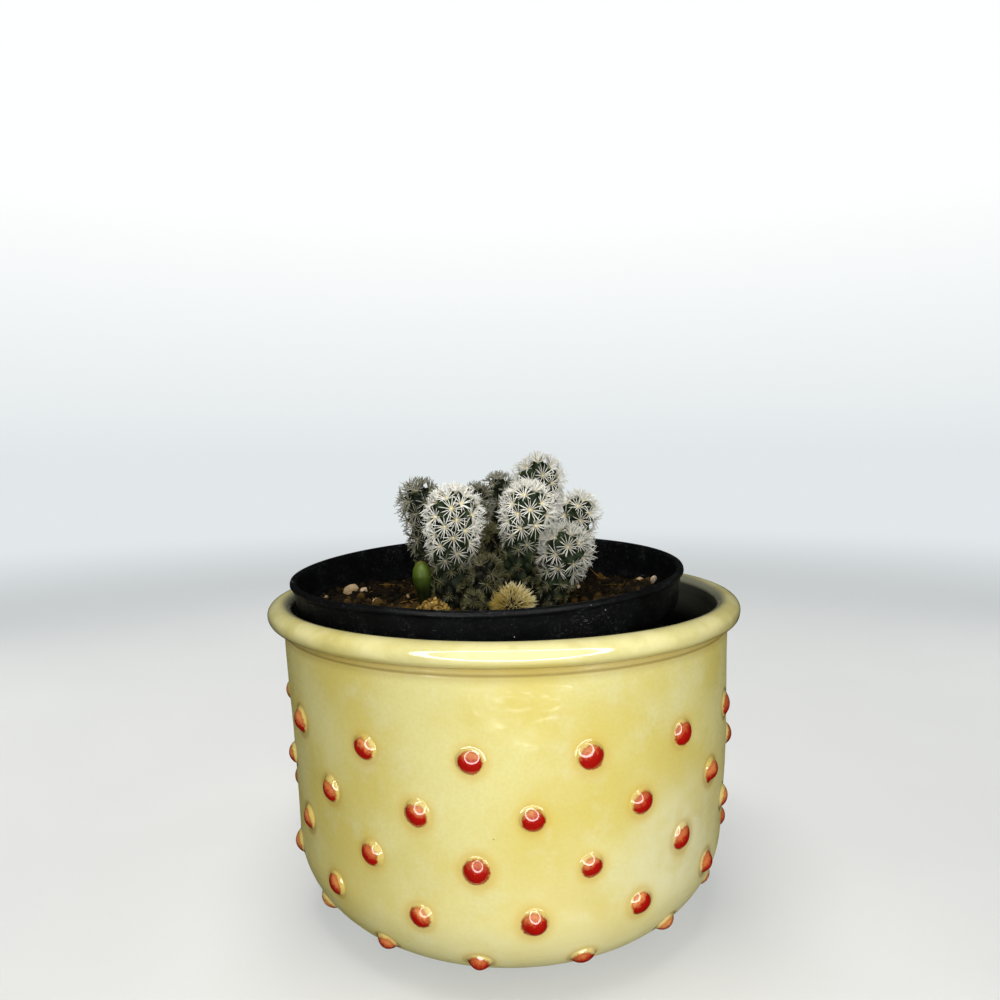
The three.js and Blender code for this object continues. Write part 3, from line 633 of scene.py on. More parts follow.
def column_angle(column):
    even = column / DOT_COLUMNS * 2 * math.pi
    return math.radians(DOT_START) + even - DOT_CROWDING * np.sin(even)


def dot_row_edges():
    """Heights between rows of dots, lowest first."""
    drops = [DOT_DROPS[0] - DOT_MARGIN]
    drops += [(upper + lower) / 2 for upper, lower in zip(DOT_DROPS, DOT_DROPS[1:])]
    drops.append(DOT_DROPS[-1] + DOT_MARGIN)
    return [GROOVE_Z - drop for drop in reversed(drops)]


def pot_profile():
    """The whole profile from the middle of the foot to the middle of the floor, the number of the
    first ring of the dotted band, and the number of the first ring of the inside."""
    edges = dot_row_edges()
    foot = [(0, 0), (FOOT_RADIUS - 8, 0), (FOOT_RADIUS - 0.8, 0), (FOOT_RADIUS, 0.25)]
    foot += [(float(pot_skin(z)[0]), z) for z in np.linspace(0.9, edges[0], 5)[:-1]]
    band = [edges[0]]
    for low, high in zip(edges, edges[1:]):
        band += list(np.linspace(low, high, CELL + 1)[1:])
    wall = [(float(pot_skin(z)[0]), z) for z in band]
    top = [(wall_radius(z), z) for z in np.linspace(band[-1], GROOVE_Z - 2.2, 7)[1:]]
    groove = [(0, -2.0), (-0.18, -1.65), (-0.26, -1.4), (-0.16, -1.1), (0, -0.85), (0.02, -0.5),
              (-0.2, -0.1), (-0.48, 0.25)]
    top += [(GROOVE_RADIUS - POT_INSET + inset, GROOVE_Z + rise) for inset, rise in groove]
    roll = arc((RIM_RADIUS, RIM_Z), (RIM_RADIAL - POT_INSET, RIM_VERTICAL), -72, 152, 28)
    inner_foot = HEEL_INSET - WALL_THICKNESS
    inner = []
    for z in np.linspace(RIM_Z + 0.6, 26, 22):
        thinning = INNER_FLARE * smoothstep(INNER_FLARE_START, RIM_Z, z)
        inner.append((wall_radius(z) - WALL_THICKNESS + thinning, z))
    heel = arc((FOOT_RADIUS, HEEL_HEIGHT), (inner_foot, HEEL_HEIGHT - FLOOR_THICKNESS), 0, -90, 8)
    profile = foot + wall + top + roll + inner + heel + [(0, FLOOR_THICKNESS)]
    return profile, len(foot) - 1, len(foot + wall + top + roll) - 1


def pot_lean(z):
    return FOOT_SHIFT * (1 - smoothstep(LEAN_START, GROOVE_Z, z))


def dot_height(away, height, fullness):
    """Height of a dot at a distance from its middle, counted in its radius."""
    dome = height * np.clip(1 - away**2, 0, 1) ** fullness - 4 * np.maximum(away - 1, 0)
    return DOT_SOFTNESS * np.log1p(np.exp(dome / DOT_SOFTNESS))


def dot_patch(random, row, column, edge_angle, edge_z):
    """The points of one dot, ring by ring from the edge of its cell to its middle. Then, for that
    edge and for the points: how far across and up they are from the middle of the red, counted in
    its radius, and the dot's sort."""
    radius = DOT_RADIUS * random.uniform(0.94, 1.07) * (1 - DOT_SHRINK * row)
    height = DOT_HEIGHT * random.uniform(0.72, 1.04)
    fullness = random.uniform(0.66, 0.95)
    shift = random.uniform(-0.25, 0.25, 2)
    stretch = random.uniform(0.95, 1.06)
    z = GROOVE_Z - DOT_DROPS[row]
    middle = column_angle(column) + shift[0] / wall_radius(z)
    z += shift[1]
    skin, slope = pot_skin(z)
    edge = np.stack([(edge_angle - middle) * skin, (edge_z - z) / np.cos(slope)], axis=-1)

    turn = np.radians(-135 + 360 * np.arange(EDGE) / EDGE)
    circle = radius * np.stack([np.cos(turn), np.sin(turn)], axis=-1)
    rings = [edge + (DOT_ROUNDS[0] * circle - edge) * share for share in DOT_EASING]
    rings += [away * circle * (stretch, 1 / stretch) for away in DOT_ROUNDS]
    places = np.concatenate(rings + [np.zeros((1, 2))])
    heights = [dot_height(away, height, fullness) for away in DOT_ROUNDS]
    lift = np.repeat([0] * len(DOT_EASING) + heights, EDGE)
    lift = np.append(lift, dot_height(0, height, fullness))
    lift *= 1 + places @ (random.uniform(-0.05, 0.05, 2) / radius)

    z = z + places[:, 1] * np.cos(slope)
    skin, slope = pot_skin(z)
    angle = middle + places[:, 0] / skin
    points = round_points(skin + lift * np.cos(slope), angle, z - lift * np.sin(slope))
    red_shift = radius * np.array([random.uniform(-0.12, 0.05), random.uniform(-0.16, 0.0)])
    red_radius = radius * random.uniform(0.86, 1.0)
    sort = random.uniform(0.35, 1)
    tags = [np.column_stack([(part - red_shift) / red_radius, np.full(len(part), sort)])
            for part in (edge, places)]
    return points, *tags


def build_cachepot(material):
    """The turned pot, whose net is left open for the round patch of each dot."""
    random = np.random.default_rng(SEEDS["dots"])
    profile, band, inside = pot_profile()
    count = DOT_COLUMNS * CELL
    points, faces = lathe(profile, column_angle(np.arange(count) / CELL - 0.5))
    inner = np.zeros(len(points))
    inner[inside * count:-2] = 1
    inner[-1] = 1
    kept = np.ones((len(profile) - 3, count), bool)
    side = np.arange(CELL)
    edge_up = np.concatenate([0 * side, side, 0 * side + CELL, CELL - side])
    edge_along = np.concatenate([side, 0 * side + CELL, CELL - side, 0 * side])
    rings = len(DOT_EASING + DOT_ROUNDS)
    ring = np.arange(EDGE)

    parts, blocks, tags = [points], [], []
    here = len(points)
    for row in range(len(DOT_DROPS)):
        low = band + (len(DOT_DROPS) - 1 - row) * CELL
        edge_z = np.array([profile[low + 1 + up][1] for up in edge_up])
        for column in range(row % 2, DOT_COLUMNS, 2):
            first = column * CELL
            kept[low:low + CELL, first:first + CELL] = False
            edge = (low + edge_up) * count + (first + edge_along) % count
            edge_angle = column_angle((first + edge_along) / CELL - 0.5)
            part, *part_tags = dot_patch(random, row, column, edge_angle, edge_z)
            parts.append(part)
            joint = np.stack([edge, np.roll(edge, -1), here + np.roll(ring, -1), here + ring], -1)
            centre = here + rings * EDGE
            tip = fan_faces(centre, centre - EDGE + ring, True)
            patch = [joint, band_faces(rings, EDGE) + here, tip]
            table = np.zeros((here + len(part), 3))
            table[edge], table[here:] = part_tags
            tags += [table[block.ravel()] for block in patch]
            blocks += patch
            here += len(part)

    points = np.concatenate(parts)
    inner = np.append(inner, np.zeros(len(points) - len(inner)))
    plain = [faces[0].reshape(*kept.shape, 4)[kept]] + faces[1:]
    tags = [np.full((block.size, 3), OFF_DOTS, float) for block in plain] + tags
    blocks = plain + blocks
    used = np.unique(np.concatenate([block.ravel() for block in blocks]))
    renumber = np.zeros(len(points), int)
    renumber[used] = np.arange(len(used))
    points = points[used]
    uneven = 0.22 * (wobble(points, 46, 1) - 0.5) + 0.06 * wobble(points, 13, 2)
    uneven *= smoothstep(0, 6, points[:, 2])  # the foot stays flat
    away = unit(points * (1, 1, 0))
    swell = np.clip(away[:, 0], 0, 1) ** 3 * smoothstep(15, 62, points[:, 2])
    swell *= SIDE_SWELL * smoothstep(RIM_Z - 0.5, GROOVE_Z, points[:, 2])
    points = points + away * (uneven + swell)[:, None]
    points[:, 0] += pot_lean(points[:, 2])
    net = Net().add(points, [renumber[block] for block in blocks], inside=inner[used])
    piece = net.piece("cachepot_glazed", material, "cachepot", "yellow_glaze")
    attribute = piece.data.attributes.new("dot", "FLOAT_VECTOR", "CORNER")
    attribute.data.foreach_set("vector", np.concatenate(tags).astype(np.float32).ravel())


# Nursery pot

def nursery_wall(z):
    top = NURSERY_HEIGHT - COLLAR_HEIGHT - COLLAR_SHOULDER
    top_radius = NURSERY_RADIUS - LIP_DEPTH - COLLAR_DRAFT - COLLAR_STEP
    return NURSERY_BASE_RADIUS + (top_radius - NURSERY_BASE_RADIUS) * z / top


def nursery_profile():
    collar = NURSERY_HEIGHT - COLLAR_HEIGHT
    lip = NURSERY_HEIGHT - LIP_HEIGHT
    shoulder = collar - COLLAR_SHOULDER
    high = NURSERY_RADIUS - LIP_DEPTH
    low = high - COLLAR_DRAFT
    outside = [(0, 0), (20, 0), (NURSERY_BASE_RADIUS - 0.8, 0), (NURSERY_BASE_RADIUS, 0.8)]
    outside += [(nursery_wall(z), z) for z in np.linspace(10, shoulder - 0.5, 8)]
    outside += [(nursery_wall(shoulder) + 0.15, shoulder), (low - 0.3, collar - 0.2)]
    outside += [(low, collar + 0.3)]
    outside += [(low + (high - low) * share, collar + (lip - collar) * share)
                for share in (0.25, 0.5, 0.75, 0.95)]
    outside += [(high + 0.25, lip + 0.12), (NURSERY_RADIUS - 0.2, lip + 0.3)]
    outside += [(NURSERY_RADIUS, lip + 0.6), (NURSERY_RADIUS - 0.05, lip + 1.2)]
    outside += [(NURSERY_RADIUS - 0.25, NURSERY_HEIGHT - 0.18), (high - 0.15, NURSERY_HEIGHT)]
    inside = [(high - 0.75, NURSERY_HEIGHT - 0.06), (high - 1.02, NURSERY_HEIGHT - 0.3)]
    inside += [(high - NURSERY_WALL, lip)]
    inside += [(low - NURSERY_WALL + (high - low) * share, collar + 0.6 + (lip - collar) * share)
               for share in (0.7, 0.35)]
    inside += [(low - NURSERY_WALL, collar + 0.6), (low - NURSERY_WALL - 0.35, collar + 0.2)]
    inside += [(nursery_wall(shoulder) - NURSERY_WALL + 0.1, shoulder + 0.4)]
    inside += [(nursery_wall(z) - NURSERY_WALL, z) for z in np.linspace(shoulder - 1, 6, 8)]
    inside += [(nursery_wall(NURSERY_WALL) - NURSERY_WALL, NURSERY_WALL), (20, NURSERY_WALL)]
    inside += [(0, NURSERY_WALL)]
    return outside + inside


def build_nursery_pot(material):
    """The thin pot, a little bent out of round by use, with drain holes in its base."""
    points, faces = lathe(nursery_profile(), full_turn(NURSERY_STEPS))
    turn = np.arctan2(points[:, 0], -points[:, 1])
    free = smoothstep(NURSERY_HEIGHT - 22, NURSERY_HEIGHT, points[:, 2])
    front_left = np.exp(-((np.degrees(turn) + 24) / 15) ** 2)
    left = np.exp(-((np.degrees(turn) + 80) / 16) ** 2)
    radial = unit(points * (1, 1, 0))
    points[:, 2] += free * (0.65 * front_left - 0.25)
    push = free * (0.35 * left - 0.2 + 0.25 * wobble(radial * 30, 24, 3))
    points += radial * push[:, None]
    net = Net().add(from_nursery(points), faces)
    piece = net.piece("nursery_pot_black", material, "nursery_pot", "black_plastic")

    tool = bmesh.new()
    for number in range(DRAIN_HOLES):
        angle = (number + 0.5) / DRAIN_HOLES * 2 * math.pi
        middle = (DRAIN_CIRCLE * math.cos(angle), DRAIN_CIRCLE * math.sin(angle), 0)
        place = Matrix.Translation(Vector(middle) * MM)
        radius = DRAIN_HOLE_RADIUS * MM
        bmesh.ops.create_cone(tool, cap_ends=True, segments=32, radius1=radius, radius2=radius,
                              depth=DRAIN_CUT * MM, matrix=place)
    mesh = bpy.data.meshes.new("drain_holes")
    tool.to_mesh(mesh)
    tool.free()
    mesh.transform(Matrix.LocRotScale(Vector(nursery_base) * MM,
                                      Matrix(nursery_turn.tolist()), None))
    cutter = bpy.data.objects.new("drain_holes", mesh)
    bpy.context.scene.collection.objects.link(cutter)
    cut = piece.modifiers.new("drain_holes", "BOOLEAN")
    cut.operation = "DIFFERENCE"
    cut.object = cutter
    graph = bpy.context.evaluated_depsgraph_get()
    whole = piece.data
    piece.data = bpy.data.meshes.new_from_object(piece.evaluated_get(graph))
    piece.modifiers.clear()
    bpy.data.objects.remove(cutter)
    bpy.data.meshes.remove(whole)
    piece.data.name = "nursery_pot_black"


# Soil

def hill(points, middle, reach):
    """One at a place on the soil, and falling off to nothing beyond its reach each way."""
    x, y = ((points[:, axis] - middle[axis]) / reach[axis] for axis in (0, 1))
    return np.exp(-x**2 - y**2)


def soil_height(points):
    """Height of the lumpy soil at points of the plant's frame."""
    flat = points * (1, 1, 0)
    height = 1.1 * wobble(flat, 11, 4) + 0.8 * wobble(flat, 4.5, 5) + 0.45 * wobble(flat, 1.9, 6)
    grains = np.array([noise.voronoi(Vector(p) / 2.3)[0][0] for p in flat])
    heaps = sum(high * hill(points, middle, reach) for middle, reach, high in SOIL_HEAPS)
    return height + 0.55 - 1.1 * grains + heaps


def golden(points):
    """How golden the soil is at points of the plant's frame: more at the front left."""
    left = np.minimum(1.45 * hill(points, *GOLDEN_LEFT), GOLDEN_MOST)
    right = 0.25 * hill(points, *GOLDEN_RIGHT)
    patches = 0.3 * wobble(points * (1, 1, 0), 7, 8) + 0.2 * wobble(points * (1, 1, 0), 3, 16)
    return left + right + patches


def build_soil(material):
    depth = NURSERY_WALL + 0.5 - SOIL_LEVEL
    base_radius = NURSERY_BASE_RADIUS - NURSERY_WALL - 0.6
    profile = [(0, depth), (base_radius, depth), (SOIL_RADIUS, -2.0)]
    profile += [(SOIL_RADIUS * ring / SOIL_RINGS, 0) for ring in range(SOIL_RINGS, -1, -1)]
    points, faces = lathe(profile, full_turn(SOIL_STEPS))
    top = points[:, 2] > -0.5
    points[top, 2] = soil_height(points[top])
    tone = 0.16 + 0.42 * golden(points) + 0.12 * wobble(points, 2.6, 9)
    net = Net().add(from_soil(points), faces, tone=tone)
    net.piece("soil_surface", material, "potting_soil", "potting_soil")


def lump_shape():
    """Points and triangles of a ball with 42 points."""
    ball = bmesh.new()
    bmesh.ops.create_icosphere(ball, subdivisions=2, radius=1)
    points = np.array([vertex.co for vertex in ball.verts])
    faces = np.array([[vertex.index for vertex in face.verts] for face in ball.faces])
    ball.free()
    return points, faces


LUMP_POINTS, LUMP_FACES = lump_shape()


def random_turns(random, number):
    """Random rotation matrices."""
    first = unit(random.normal(size=(number, 3)))
    second = random.normal(size=(number, 3))
    second = unit(second - first * np.sum(first * second, axis=1, keepdims=True))
    return np.stack([first, second, np.cross(first, second)], axis=1)


def add_lumps(net, random, places, sizes, tones, flatness=0.6):
    """Broken bits: balls with dented skins, each squashed and turned its own way."""
    number = len(places)
    dents = random.uniform(0.72, 1.18, (number, len(LUMP_POINTS), 1))
    scale = random.uniform(flatness, 1.1, (number, 1, 3)) * np.asarray(sizes)[:, None, None]
    shapes = LUMP_POINTS[None] * dents * scale
    shapes = np.einsum("nij,npj->npi", random_turns(random, number), shapes)
    points = shapes + places[:, None]
    faces = repeated(LUMP_FACES, number, len(LUMP_POINTS))
    net.add(points.reshape(-1, 3), [faces], tone=np.repeat(tones, len(LUMP_POINTS)))


def scatter(random, number, margin):
    """Places spread evenly over the soil, but not near its edge."""
    radius = (SOIL_RADIUS - margin) * np.sqrt(random.uniform(0, 1, number))
    return round_points(radius, random.uniform(-math.pi, math.pi, number), 0)


def build_soil_bits(material):
    """Loose crumbs, pale chips and thin root fibres on the soil."""
    random = np.random.default_rng(SEEDS["soil"])
    places = scatter(random, SOIL_CRUMBS, 1.5)
    sizes = random.uniform(0.35, 1.0, SOIL_CRUMBS) ** 1.6 * 1.9
    places[:, 2] = soil_height(places) + 0.25 * sizes
    tones = 0.06 + 0.45 * golden(places) + 0.4 * random.uniform(0, 1, SOIL_CRUMBS) ** 2
    net = Net()
    add_lumps(net, random, from_soil(places), sizes, tones)
    net.piece("soil_crumbs", material, "potting_soil", "potting_soil")

    places = np.array([(x, y, 0) for x, y, _ in PALE_CHIPS], float)
    sizes = np.array([size for _, _, size in PALE_CHIPS])
    places[:, 2] = soil_height(places) + 0.5 * sizes
    net = Net()
    tones = random.uniform(0.8, 0.94, len(sizes))
    add_lumps(net, random, from_soil(places), sizes, tones, flatness=0.3)
    net.piece("soil_pale_chips", material, "potting_soil", "potting_soil")

    places = scatter(random, SOIL_FIBRES, 4)
    places[:, 2] = soil_height(places) + 0.1
    lean = unit(random.normal(size=places.shape) * (1, 1, 0.1))
    bend = unit(random.normal(size=places.shape) * (1, 1, 0.1)) * 0.35
    length = random.uniform(2.5, 7.5, SOIL_FIBRES)
    width = random.uniform(0.07, 0.16, SOIL_FIBRES)
    net = Net()
    add_spines(net, places, lean, bend, length, width, from_soil,
               tone=random.uniform(0.4, 0.8, SOIL_FIBRES))
    net.piece("soil_fibres", material, "potting_soil", "potting_soil")


# Cactus heads

SPINE_RINGS = (0.0, 0.45, 0.8)
SPINE_TAPER = (1.0, 0.9, 0.66)
SPINE_SIDES = 3
PAD_RINGS = ((0.5, -0.2), (0.4, 0.2), (0.18, 0.36))  # reach and rise of a pad of wool
PAD_SIDES = 6


def sideways(directions, skew):
    """Two directions at right angles to each direction and to each other."""
    side = unit(np.cross(directions, unit(directions[:, ::-1] + skew)))
    return side, np.cross(directions, side)


def spokes(side, other, turn):
    """The same spokes round each direction."""
    return side[:, None] * np.cos(turn)[:, None] + other[:, None] * np.sin(turn)[:, None]


def add_spines(net, roots, directions, bends, lengths, radii, place, **values):
    """Closed slim spikes. Each bends away by its bend, counted in its length, towards the tip."""
    number = len(roots)
    lengths = np.asarray(lengths)[:, None, None]
    radii = np.asarray(radii)[:, None, None, None]
    shares = np.array(SPINE_RINGS + (1.0,))
    line = directions[:, None] * shares[:, None] + bends[:, None] * shares[:, None] ** 2
    middles = roots[:, None] + line * lengths
    turn = np.arange(SPINE_SIDES) * 2 * math.pi / SPINE_SIDES
    out = spokes(*sideways(directions, (0.3, -0.7, 0.2)), turn)
    taper = np.array(SPINE_TAPER)[None, :, None, None]
    rings = middles[:, :-1, None] + out[:, None] * radii * taper
    size = len(SPINE_RINGS) * SPINE_SIDES
    points = np.concatenate([rings.reshape(number, size, 3), middles[:, -1:]], axis=1)
    ring = np.arange(SPINE_SIDES)
    faces = (band_faces(len(SPINE_RINGS), SPINE_SIDES),
             fan_faces(size, size - SPINE_SIDES + ring, True), [ring[::-1]])
    spread = {name: np.repeat(value, size + 1) for name, value in values.items()}
    along = np.append(np.repeat(SPINE_RINGS, SPINE_SIDES), 1.0)
    spread["along"] = np.tile(along, number)
    faces = [repeated(block, number, size + 1) for block in faces]
    net.add(place(points.reshape(-1, 3)), faces, **spread)


class Head:
    """A ball on a stem that narrows down to its foot, with areoles in golden-angle order."""

    def __init__(self, name, number):
        top, radius, foot, foot_radius, self.dullness_and_shade = HEADS[name]
        self.radius = BODY_SHARE * radius
        self.name = name
        self.foot = np.array((*foot, FOOT_Z))
        axis = np.array(top) - self.foot
        self.length = float(np.linalg.norm(axis))
        self.turn = turn_to(axis)
        self.lean = math.asin((self.radius - foot_radius) / self.length)
        self.dome = self.radius * (math.pi / 2 + self.lean)
        self.end = self.dome + self.length * math.cos(self.lean)
        self.phase = 1.7 * number
        self.small = name.startswith("offset")
        self.spacing = OFFSET_SPACING if self.small else AREOLE_SPACING
        self.random = np.random.default_rng(SEEDS["heads"] + number)

    def outline(self, distance):
        """Radius, height and the normal's outward and upward parts, by distance from the apex."""
        distance = np.asarray(distance, float)
        turn = np.minimum(distance, self.dome) / self.radius
        flank = np.maximum(distance - self.dome, 0)
        radius = self.radius * np.sin(turn) - flank * math.sin(self.lean)
        height = self.length + self.radius * np.cos(turn) - flank * math.cos(self.lean)
        return radius, height, np.sin(turn), np.cos(turn)

    def place(self, points):
        return from_soil(points @ self.turn.T + self.foot)

    def surface(self, distance, angle):
        radius, height, outward, upward = self.outline(distance)
        points = np.stack([radius * np.cos(angle), radius * np.sin(angle), height], axis=-1)
        normals = np.stack([outward * np.cos(angle), outward * np.sin(angle), upward], axis=-1)
        return points, normals

    def areoles(self):
        """Distances from the apex and angles of the areoles, which share out the surface."""
        step = 0.05
        distance = np.arange(step, self.end - 1.5, step)
        radius = self.outline(distance)[0]
        old = np.maximum(distance / self.end - THINNING_START, 0) / (1 - THINNING_START)
        near = CROWN_SPACING + (1 - CROWN_SPACING) * smoothstep(0, CROWN_REACH, distance)
        cell = math.sqrt(3) / 2 * (self.spacing * near) ** 2 * (1 + STEM_THINNING * old)
        cells = np.cumsum(2 * math.pi * radius * step / cell)
        number = int(cells[-1] + 0.5)
        at = np.interp(np.arange(number) + 0.5, cells, distance)
        angle = np.arange(number) * GOLDEN_ANGLE + self.phase
        jitter = PLACE_JITTER * self.spacing
        at = np.maximum(at + self.random.uniform(-jitter, jitter, number), 0.2)
        ring = np.maximum(self.outline(at)[0], 1)
        angle = angle + self.random.uniform(-jitter, jitter, number) / ring
        return at, angle

    def build(self, flesh, spines):
        at, angle = self.areoles()
        tips, normals = self.surface(at, angle)
        start = WORN_FROM.get(self.name, WORN_FROM_USUAL)
        worn = smoothstep(start, start + WORN_OVER, at / self.end)
        # Spines grow dull low on the stem; a head's own dullness darkens all of them, which on heads
        # deep in the clump is painted shade.
        age = self.dullness_and_shade + (1 - self.dullness_and_shade) * worn
        self.build_body(flesh, tips)
        self.build_spines(spines, at, tips, normals, age, worn)

    def build_body(self, material, tips):
        """The skin, pressed in between the tubercles."""
        count = OFFSET_SKIN_COLUMNS if self.small else SKIN_COLUMNS
        distance = np.arange(SKIN_STEP, self.end, SKIN_STEP)
        angles = np.arange(count) * 2 * math.pi / count
        grid_d, grid_a = np.meshgrid(distance, angles, indexing="ij")
        points, normals = self.surface(grid_d.ravel(), -grid_a.ravel())
        apex = np.array([[0, 0, self.length + self.radius]])
        foot = np.array([[0, 0, self.outline(distance[-1])[1]]])
        points = np.concatenate([points, apex, foot])
        normals = np.concatenate([normals, [[0, 0, 1]], [[0, 0, 0]]])
        gaps = np.linalg.norm(points[:, None] - tips[None], axis=-1)
        nearest = np.partition(gaps, 1, axis=1)[:, :2]
        valley = np.clip(2 * nearest[:, 0] / nearest.sum(axis=1), 0, 1)
        reach = TUBERCLE_DEPTH * self.spacing / AREOLE_SPACING
        reach = reach * smoothstep(0.3, 1, nearest.sum(axis=1) / self.spacing)
        points = points - normals * (reach * valley**1.7)[:, None]
        # Heads set dull all over get the dark cork further up too, painted shade.
        age = np.maximum(np.append(grid_d.ravel() / self.end, [0, 1]), self.dullness_and_shade)
        faces = closed_faces(len(distance), count)
        net = Net().add(self.place(points), faces, valley=valley, age=age)
        net.piece(self.name + "_body", material, self.name, "cactus")

    def build_spines(self, material, at, tips, normals, age, worn):
        """A star of spines round each areole, with a pad of wool in its middle."""
        random = self.random
        number = len(tips)
        fresh = np.exp(-(at / FRESH_REACH) ** 2)
        side, other = sideways(normals, (0.31, 0.52, -0.43))
        counts = SPINES + 3 * fresh - 4 * worn + random.uniform(-1.5, 1.5, number)
        counts = np.round(counts).astype(int)
        owner = np.repeat(np.arange(number), counts)
        order = np.concatenate([np.arange(count) / count for count in counts])
        turn = 2 * math.pi * order + random.uniform(0, 6.3, number)[owner]
        turn = turn + random.uniform(-0.16, 0.16, len(owner))
        tilt = np.radians(random.uniform(28, 50, len(owner)) + 16 * fresh[owner])
        flat = side[owner] * np.cos(turn)[:, None] + other[owner] * np.sin(turn)[:, None]
        normal = normals[owner]
        direction = flat * np.cos(tilt)[:, None] + normal * np.sin(tilt)[:, None]
        size = SPINE_LENGTH * self.spacing / AREOLE_SPACING
        size = size * (1 if self.radius > 5 else 0.84)
        length = size * random.uniform(0.8, 1.1, len(owner)) * (1 - 0.5 * worn[owner])
        length = length * (1 - 0.18 * fresh[owner])
        bend = -0.16 * normal + 0.035 * random.normal(size=normal.shape)
        radii = SPINE_RADIUS * random.uniform(0.85, 1.15, len(owner))
        roots = tips[owner] + 0.12 * flat - 0.15 * normal
        net = Net()
        tint = random.uniform(0, 1, len(owner))
        add_spines(net, roots, direction, bend, length, radii, self.place,
                   age=np.clip(age[owner] + random.uniform(-0.1, 0.25, len(owner)), 0, 1),
                   tint=tint)

        ring = np.arange(PAD_SIDES)
        size = len(PAD_RINGS) * PAD_SIDES
        out = spokes(side, other, ring * 2 * math.pi / PAD_SIDES)
        pad_size = random.uniform(0.85, 1.15, number) * (0.75 if self.small else 1)
        parts = [out * reach + normals[:, None] * rise for reach, rise in PAD_RINGS]
        pads = np.concatenate(parts, axis=1) * pad_size[:, None, None] + tips[:, None]
        faces = (band_faces(len(PAD_RINGS), PAD_SIDES), [size - PAD_SIDES + ring], [ring[::-1]])
        net.add(self.place(pads.reshape(-1, 3)),
                [repeated(block, number, size) for block in faces],
                along=0.0, age=np.repeat(age, size),
                tint=np.repeat(random.uniform(0.4, 1, number), size))
        net.piece(self.name + "_spines", material, self.name, "cactus")


# The half dried offset, the bud and the dry crumbs

def build_straw_offset(material, flesh):
    """A low cushion of close, stiff, straw-coloured bristles, longest and palest at its right."""
    random = np.random.default_rng(SEEDS["straw"])
    centre = np.array(STRAW_TOP)
    number = STRAW_BRISTLES
    height = 1 - (np.arange(number) + 0.5) / number * 1.25
    angle = np.arange(number) * GOLDEN_ANGLE
    ring = np.sqrt(1 - height**2)
    normals = np.stack([ring * np.cos(angle), ring * np.sin(angle), height], axis=-1)
    roots = centre + normals * STRAW_CORE
    pale = smoothstep(-0.1, 0.8, normals @ unit(np.array(STRAW_PALE_SIDE)))
    direction = unit(normals + random.normal(size=normals.shape) * (0.5 - 0.25 * pale)[:, None])
    length = random.uniform(1.9, 3.1, number) + 1.5 * pale * random.uniform(0.2, 1, number)
    keep = (roots + direction * length[:, None])[:, 2] > -0.5
    bend = random.normal(size=normals.shape) * 0.16
    net = Net()
    radii = random.uniform(0.12, 0.19, number)
    add_spines(net, roots[keep], direction[keep], bend[keep], length[keep], radii[keep], from_soil,
               age=(1 - pale[keep]) * random.uniform(0.6, 1, keep.sum()),
               tint=random.uniform(0, 1, keep.sum()))
    net.piece("offset_straw_bristles", material, "offset_straw", "straw_cactus")

    radius = STRAW_CORE + 0.3
    profile = [(0, -4.0)] + arc((0, 0), (radius, radius), -70, 90, 22)[:-1]
    points, faces = lathe(profile + [(0, radius)], full_turn(48))
    points = points * (1 + 0.05 * wobble(points, 1.6, 12))[:, None] + centre
    net = Net().add(from_soil(points), faces, valley=0.6, age=1.0)
    net.piece("offset_straw_body", flesh, "offset_straw", "straw_cactus")


def build_bud(material):
    """A smooth green bud with a blunt tip and faint folds down its sides."""
    foot = np.array((*BUD_FOOT, FOOT_Z))
    axis = unit(np.array((*BUD_TIP, BUD_HEIGHT - BUD_RADIUS)) - foot)
    length = BUD_HEIGHT - FOOT_Z
    shares = np.linspace(0, 1, 40)[1:-1]
    widths = np.interp(shares, (0, 0.2, 0.4, 0.6, 0.74, 0.86, 0.95, 0.985, 1),
                       (0.3, 0.36, 0.62, 0.93, 1.0, 0.86, 0.55, 0.28, 0.12))
    profile = [(0, 0)] + [(BUD_RADIUS * w, length * s) for w, s in zip(widths, shares)]
    profile += [(0, length * 0.995)]
    points, faces = lathe(profile, full_turn(48))
    height = points[:, 2] / length
    turn = np.arctan2(points[:, 0], -points[:, 1])
    fold = 1 + 0.03 * np.cos(5 * turn + 1) * smoothstep(0.95, 0.4, height)
    points[:, :2] *= (fold + 0.03 * wobble(points, 4, 13))[:, None]
    net = Net().add(from_soil(points @ turn_to(axis).T + foot), faces, height=height)
    net.piece("green_bud_smooth", material, "green_bud", "green_bud")


def build_crumbs(material):
    """A low heap of dry golden bits, with some strewn round it."""
    random = np.random.default_rng(SEEDS["crumbs"])
    share = np.sqrt(random.uniform(0, 1, CRUMBS))
    angle = random.uniform(0, 2 * math.pi, CRUMBS)
    wide, deep, high = CRUMBS_SPREAD
    x = CRUMBS_CENTRE[0] + wide * share * np.cos(angle)
    y = CRUMBS_CENTRE[1] + deep * share * np.sin(angle)
    lumpy = 0.8 + 0.2 * wobble(np.stack([x, y, 0 * x], axis=-1), 2.2, 15)
    rise = (1 - share**2) * lumpy * random.uniform(0.3, 1, CRUMBS) ** 0.5
    places = np.stack([x, y, -0.6 + high * rise], axis=-1)
    sizes = random.uniform(0.3, 0.85, CRUMBS) * (1.1 - 0.3 * share)
    tones = random.uniform(0.2, 1, CRUMBS)
    net = Net()
    add_lumps(net, random, from_soil(places), sizes, tones)
    net.piece("dry_crumbs_heap", material, "dry_crumbs", "dry_crumbs")


# Room

